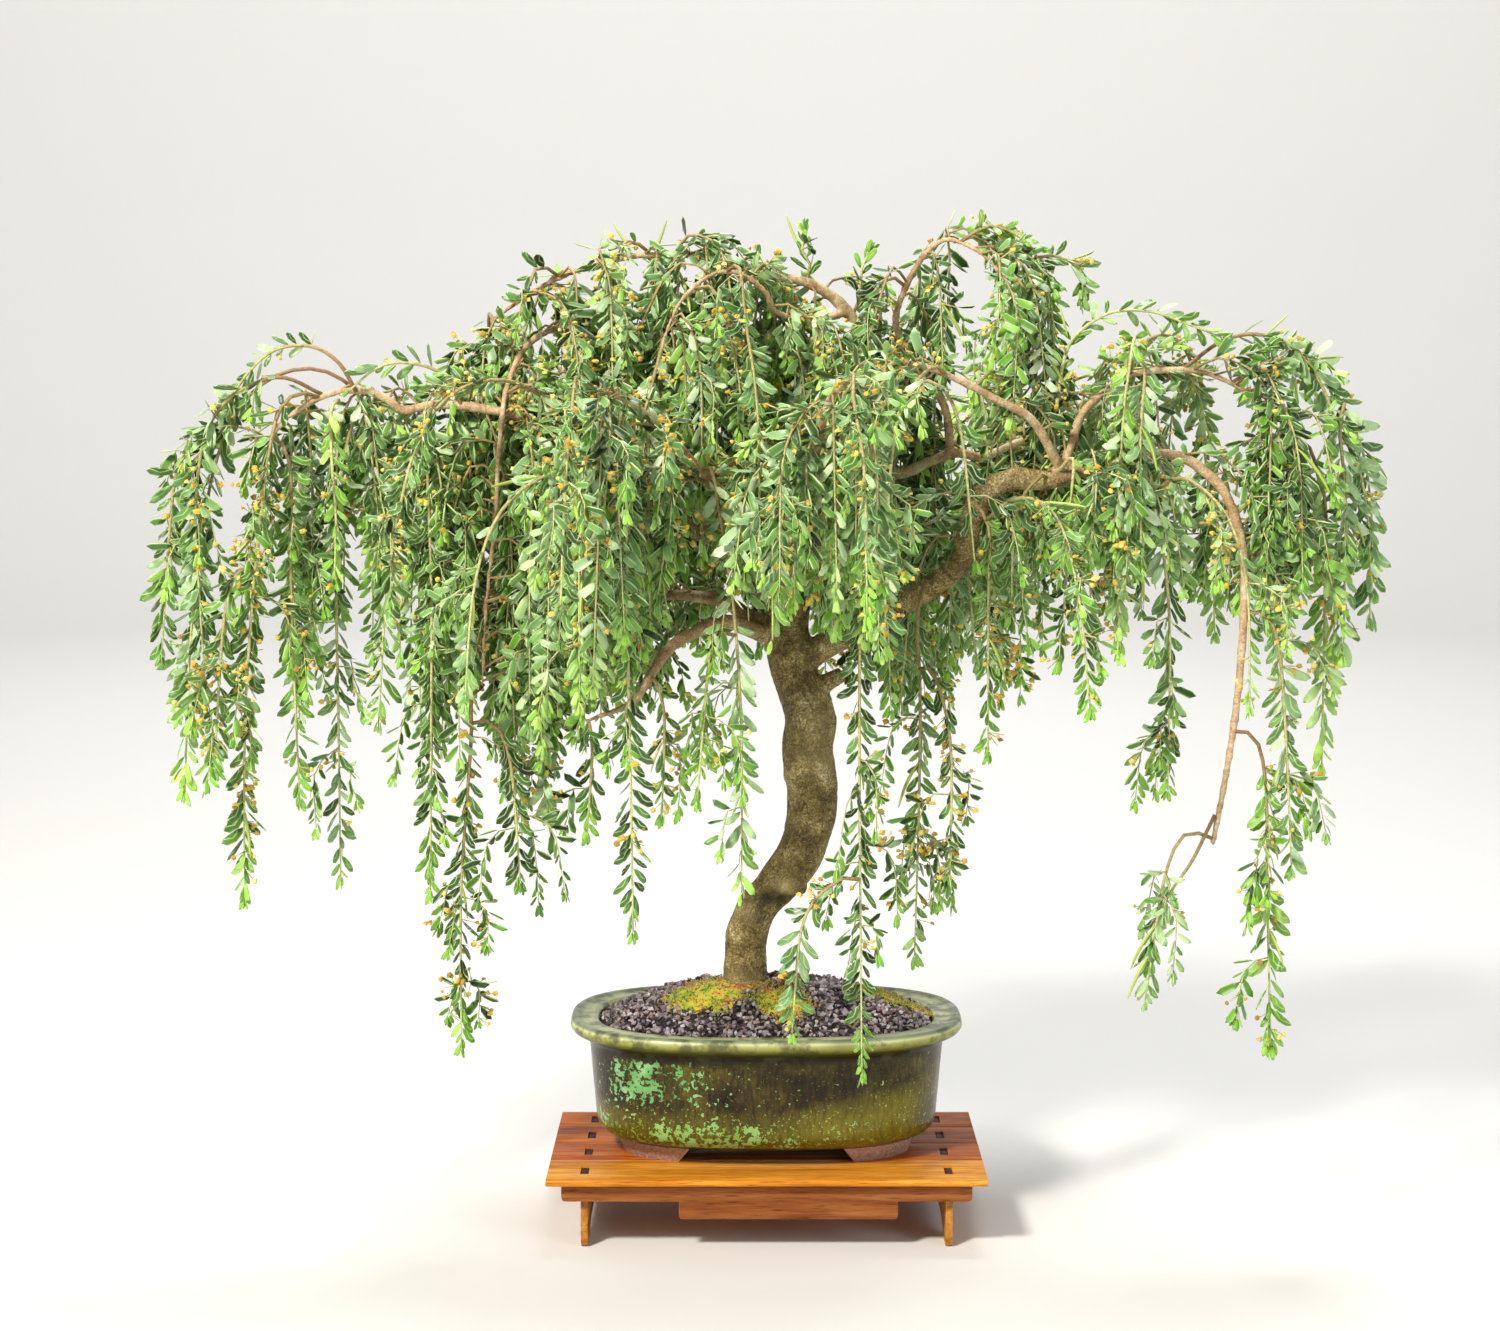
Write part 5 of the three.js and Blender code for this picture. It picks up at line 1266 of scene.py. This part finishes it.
def leafGreen():
    # Phyllodes: leathery, blue-green with a waxy bloom when old, yellow-green and softer when new
    material, add, place = newMaterial("phyllodeLeaf", {
        "Roughness": 0.4, "Sheen Weight": 0.1, "Sheen Roughness": 0.4, "IOR": 1.47})
    age = add("Attribute", attribute_name="age")
    tint = add("Attribute", attribute_name="tint")
    old = add("ValToRGB", {"Fac": tint}, [
        (0.0, "#182E0E"), (0.3, "#355820"), (0.6, "#5E8A48"), (0.82, "#90B280"), (1.0, "#C0D8B0")])
    new = add("ValToRGB", {"Fac": tint}, [(0.0, "#5C9C20"), (0.5, "#90CE38"), (1.0, "#C2EA66")])
    # The midrib and the margin are paler
    onBlade = add("UVMap", uv_map="blade")
    across = add("SeparateXYZ", {"Vector": onBlade})
    off = add("Math", {0: across, 1: 0.5}, operation="SUBTRACT")
    away = add("Math", {0: off}, operation="ABSOLUTE")
    pale = add("ValToRGB", {"Fac": away}, [
        (0.0, "#FFFFFF"), (0.07, "#404040"), (0.14, "#000000"), (0.38, "#000000"), (0.5, "#D0D0D0")])
    return surfaced(material, layered(add, old, (age, new), (pale, "#B8D08E")))


def stemBark():
    # Young stems: brown where they leave the wood, olive along, pale green at the tip
    material, add, place = newMaterial("greenStem", {"Roughness": 0.6})
    age = add("Attribute", attribute_name="age")
    tone = add("ValToRGB", {"Fac": age}, [
        (0.0, "#8E6A4A"), (0.12, "#A8925E"), (0.35, "#BEB67A"), (0.7, "#CFD08E"), (1.0, "#BED47E")])
    fine = add("TexNoise", {"Vector": place, "Scale": 500, "Detail": 2})
    mottle = add("ValToRGB", {"Fac": fine}, [(0.3, "#9A9088"), (0.6, "#FFFFFF")])
    return surfaced(material, layered(add, tone, (0.6, mottle, "MULTIPLY")))


def flowerGold():
    # Flower heads: fluffy golden balls, the spent ones orange-brown
    material, add, place = newMaterial("flowerFluff", {"Roughness": 0.9, "Sheen Weight": 0.25})
    age = add("Attribute", attribute_name="age")
    tone = add("ValToRGB", {"Fac": age}, [
        (0.0, "#A07E22"), (0.3, "#CBA52E"), (0.6, "#DFC244"), (1.0, "#EEDC80")])
    fluff = add("TexNoise", {"Vector": place, "Scale": 1600, "Detail": 2})
    return surfaced(material, tone, fluff, 0.9, 0.5)


def podGreen():
    # Seed pods: smooth, pale green, a little waxy
    material, add, place = newMaterial("podSkin", {"Roughness": 0.42})
    tint = add("Attribute", attribute_name="tint")
    return surfaced(material, add("ValToRGB", {"Fac": tint}, [
        (0.0, "#8FA640"), (0.6, "#A8C052"), (1.0, "#C4CC70")]))


plantFinish = [leafGreen(), stemBark(), flowerGold(), podGreen()]


def putPod(bm, chance, along, up, place, sizes):
    matrix = basis(along, up, place, chance.uniform(*sizes))
    putCopy(bm, templates["pod"], matrix, seedPod["age"], chance.random())


def growPods(bm, chance, path, count):
    for _ in range(count):
        point, axes = alongLine(path, path["reach"] * chance.uniform(0.2, 0.85))
        radial = outFrom(axes, chance.uniform(0, 6.3))
        along = (axes[0] * 0.8 + radial * 0.6).normalized()
        if not hidesWood(point + along * 15 * mm):
            putPod(bm, chance, along, (radial - along * radial.dot(along)).normalized(), point, (0.7, 1.15))


def newPlant():
    bm = newMesh()
    bm.loops.layers.uv.new("blade")
    return bm


def finishPlant(bm, name, replaced=()):
    mesh = asMesh(bm, name, smooth=None)
    addPiece(name, mesh, plantFinish, replaced)
    return sum(len(p.vertices) - 2 for p in mesh.polygons)


def growSprays():
    chance = random.Random(growth["seed"])
    number, faces = 0, []
    for name, (limb, at, strands) in sprays.items():
        bm = newPlant()
        first = None
        for tip, rise, *fork in strands:
            number += 1
            root = curvePoint(limbPoints[limb], at)
            if fork:
                root = alongLine(first, fork[0] * first["reach"])[0]
            path = shootLine(root, Vector(tip) * mm, rise * mm, number)
            first = first or path
            habit = newHabit(chance, "leaf", growth["stemRadii"], 5, growth["sideEvery"])
            growStrand(bm, chance, path, habit | habits.get(name, {}), number)
            growPods(bm, chance, path, chance.choice((0, 1, 2)))
        faces.append(finishPlant(bm, "shoots_" + name, ["spray_" + name]))
    print("sprays:", sum(faces), "triangles, at most", max(faces), "in one")
    bm = newPlant()
    for points, changes in branchlets:
        number += 1
        path = spacedLine([Vector(point) * mm for point in points], growth["step"] / 2 * mm)
        growStrand(bm, chance, path, branchletHabit | changes, number)
    for place, direction in raisedPods:
        along = Vector(direction).normalized()
        putPod(bm, chance, along, Vector((0, -1, 0)), Vector(place) * mm, (0.7, 0.9))
    print("branchlets:", finishPlant(bm, "branchlets"), "triangles")


def fillShoot(chance, root, number):
    # Tries a few ways out from the limb, and takes the one that hides least of the wood in sight
    best = None
    # Where the limb itself isn't to be seen, most shoots come forward and veil it
    veil = not hidesWood(root + Vector((0, -20, 0)) * mm)
    for _ in range(fill["tries"]):
        forward = veil and chance.random() < fill["forward"]
        turn = chance.uniform(-2.4, -0.7) if forward else chance.uniform(0, 6.3)
        tip = root + Vector((math.cos(turn), math.sin(turn), 0)) * chance.uniform(*fill["reach"]) * mm
        spare = chance.uniform(0, 45) if chance.random() < fill["low"] else chance.uniform(45, 150)
        floor = (tableAt(fill["curtain"], tip.x / mm) + spare) * mm
        tip.z = max(root.z - chance.uniform(*fill["drop"]) * mm, floor)
        if tip.z > root.z - fill["shortest"] * mm or not inRoom(tip):
            continue
        line = shootLine(root, tip, chance.uniform(*fill["rise"]) * mm, number)
        hides = sum(hidesWood(point, "shoot") for point in line["line"][2:])
        if best is None or hides < best[0]:
            best = (hides, line)
        if hides == 0:
            break
    return best[1] if best and best[0] < 3 else None


def fillLimb(chance, name):
    # More shoots all along a limb, to close the curtain that the named ones draw
    path = spacedLine(limbPoints[name], 4 * mm)
    bm = newPlant()
    s, number = 0.2 * path["reach"], 0
    while s < path["reach"]:
        line = fillShoot(chance, alongLine(path, s)[0], number)
        if line:
            habit = newHabit(chance, "smallLeaf", fill["stemRadii"], 4, fill["sideEvery"])
            growStrand(bm, chance, line, habit, number)
            growPods(bm, chance, line, chance.choice((0, 0, 1)))
            number += 1
        s += fill["spacing"] * chance.uniform(0.7, 1.3) * mm
    return finishPlant(bm, "fill_" + name), number


def growFill():
    chance = random.Random(fill["seed"])
    made = [fillLimb(chance, name) for name in limbs if name not in ("trunk", *stubs)]
    faces, shoots = zip(*made)
    print("fill:", sum(shoots), "shoots,", sum(faces), "triangles, at most", max(faces), "in one")


growSprays()
growFill()
print("foliage grown")
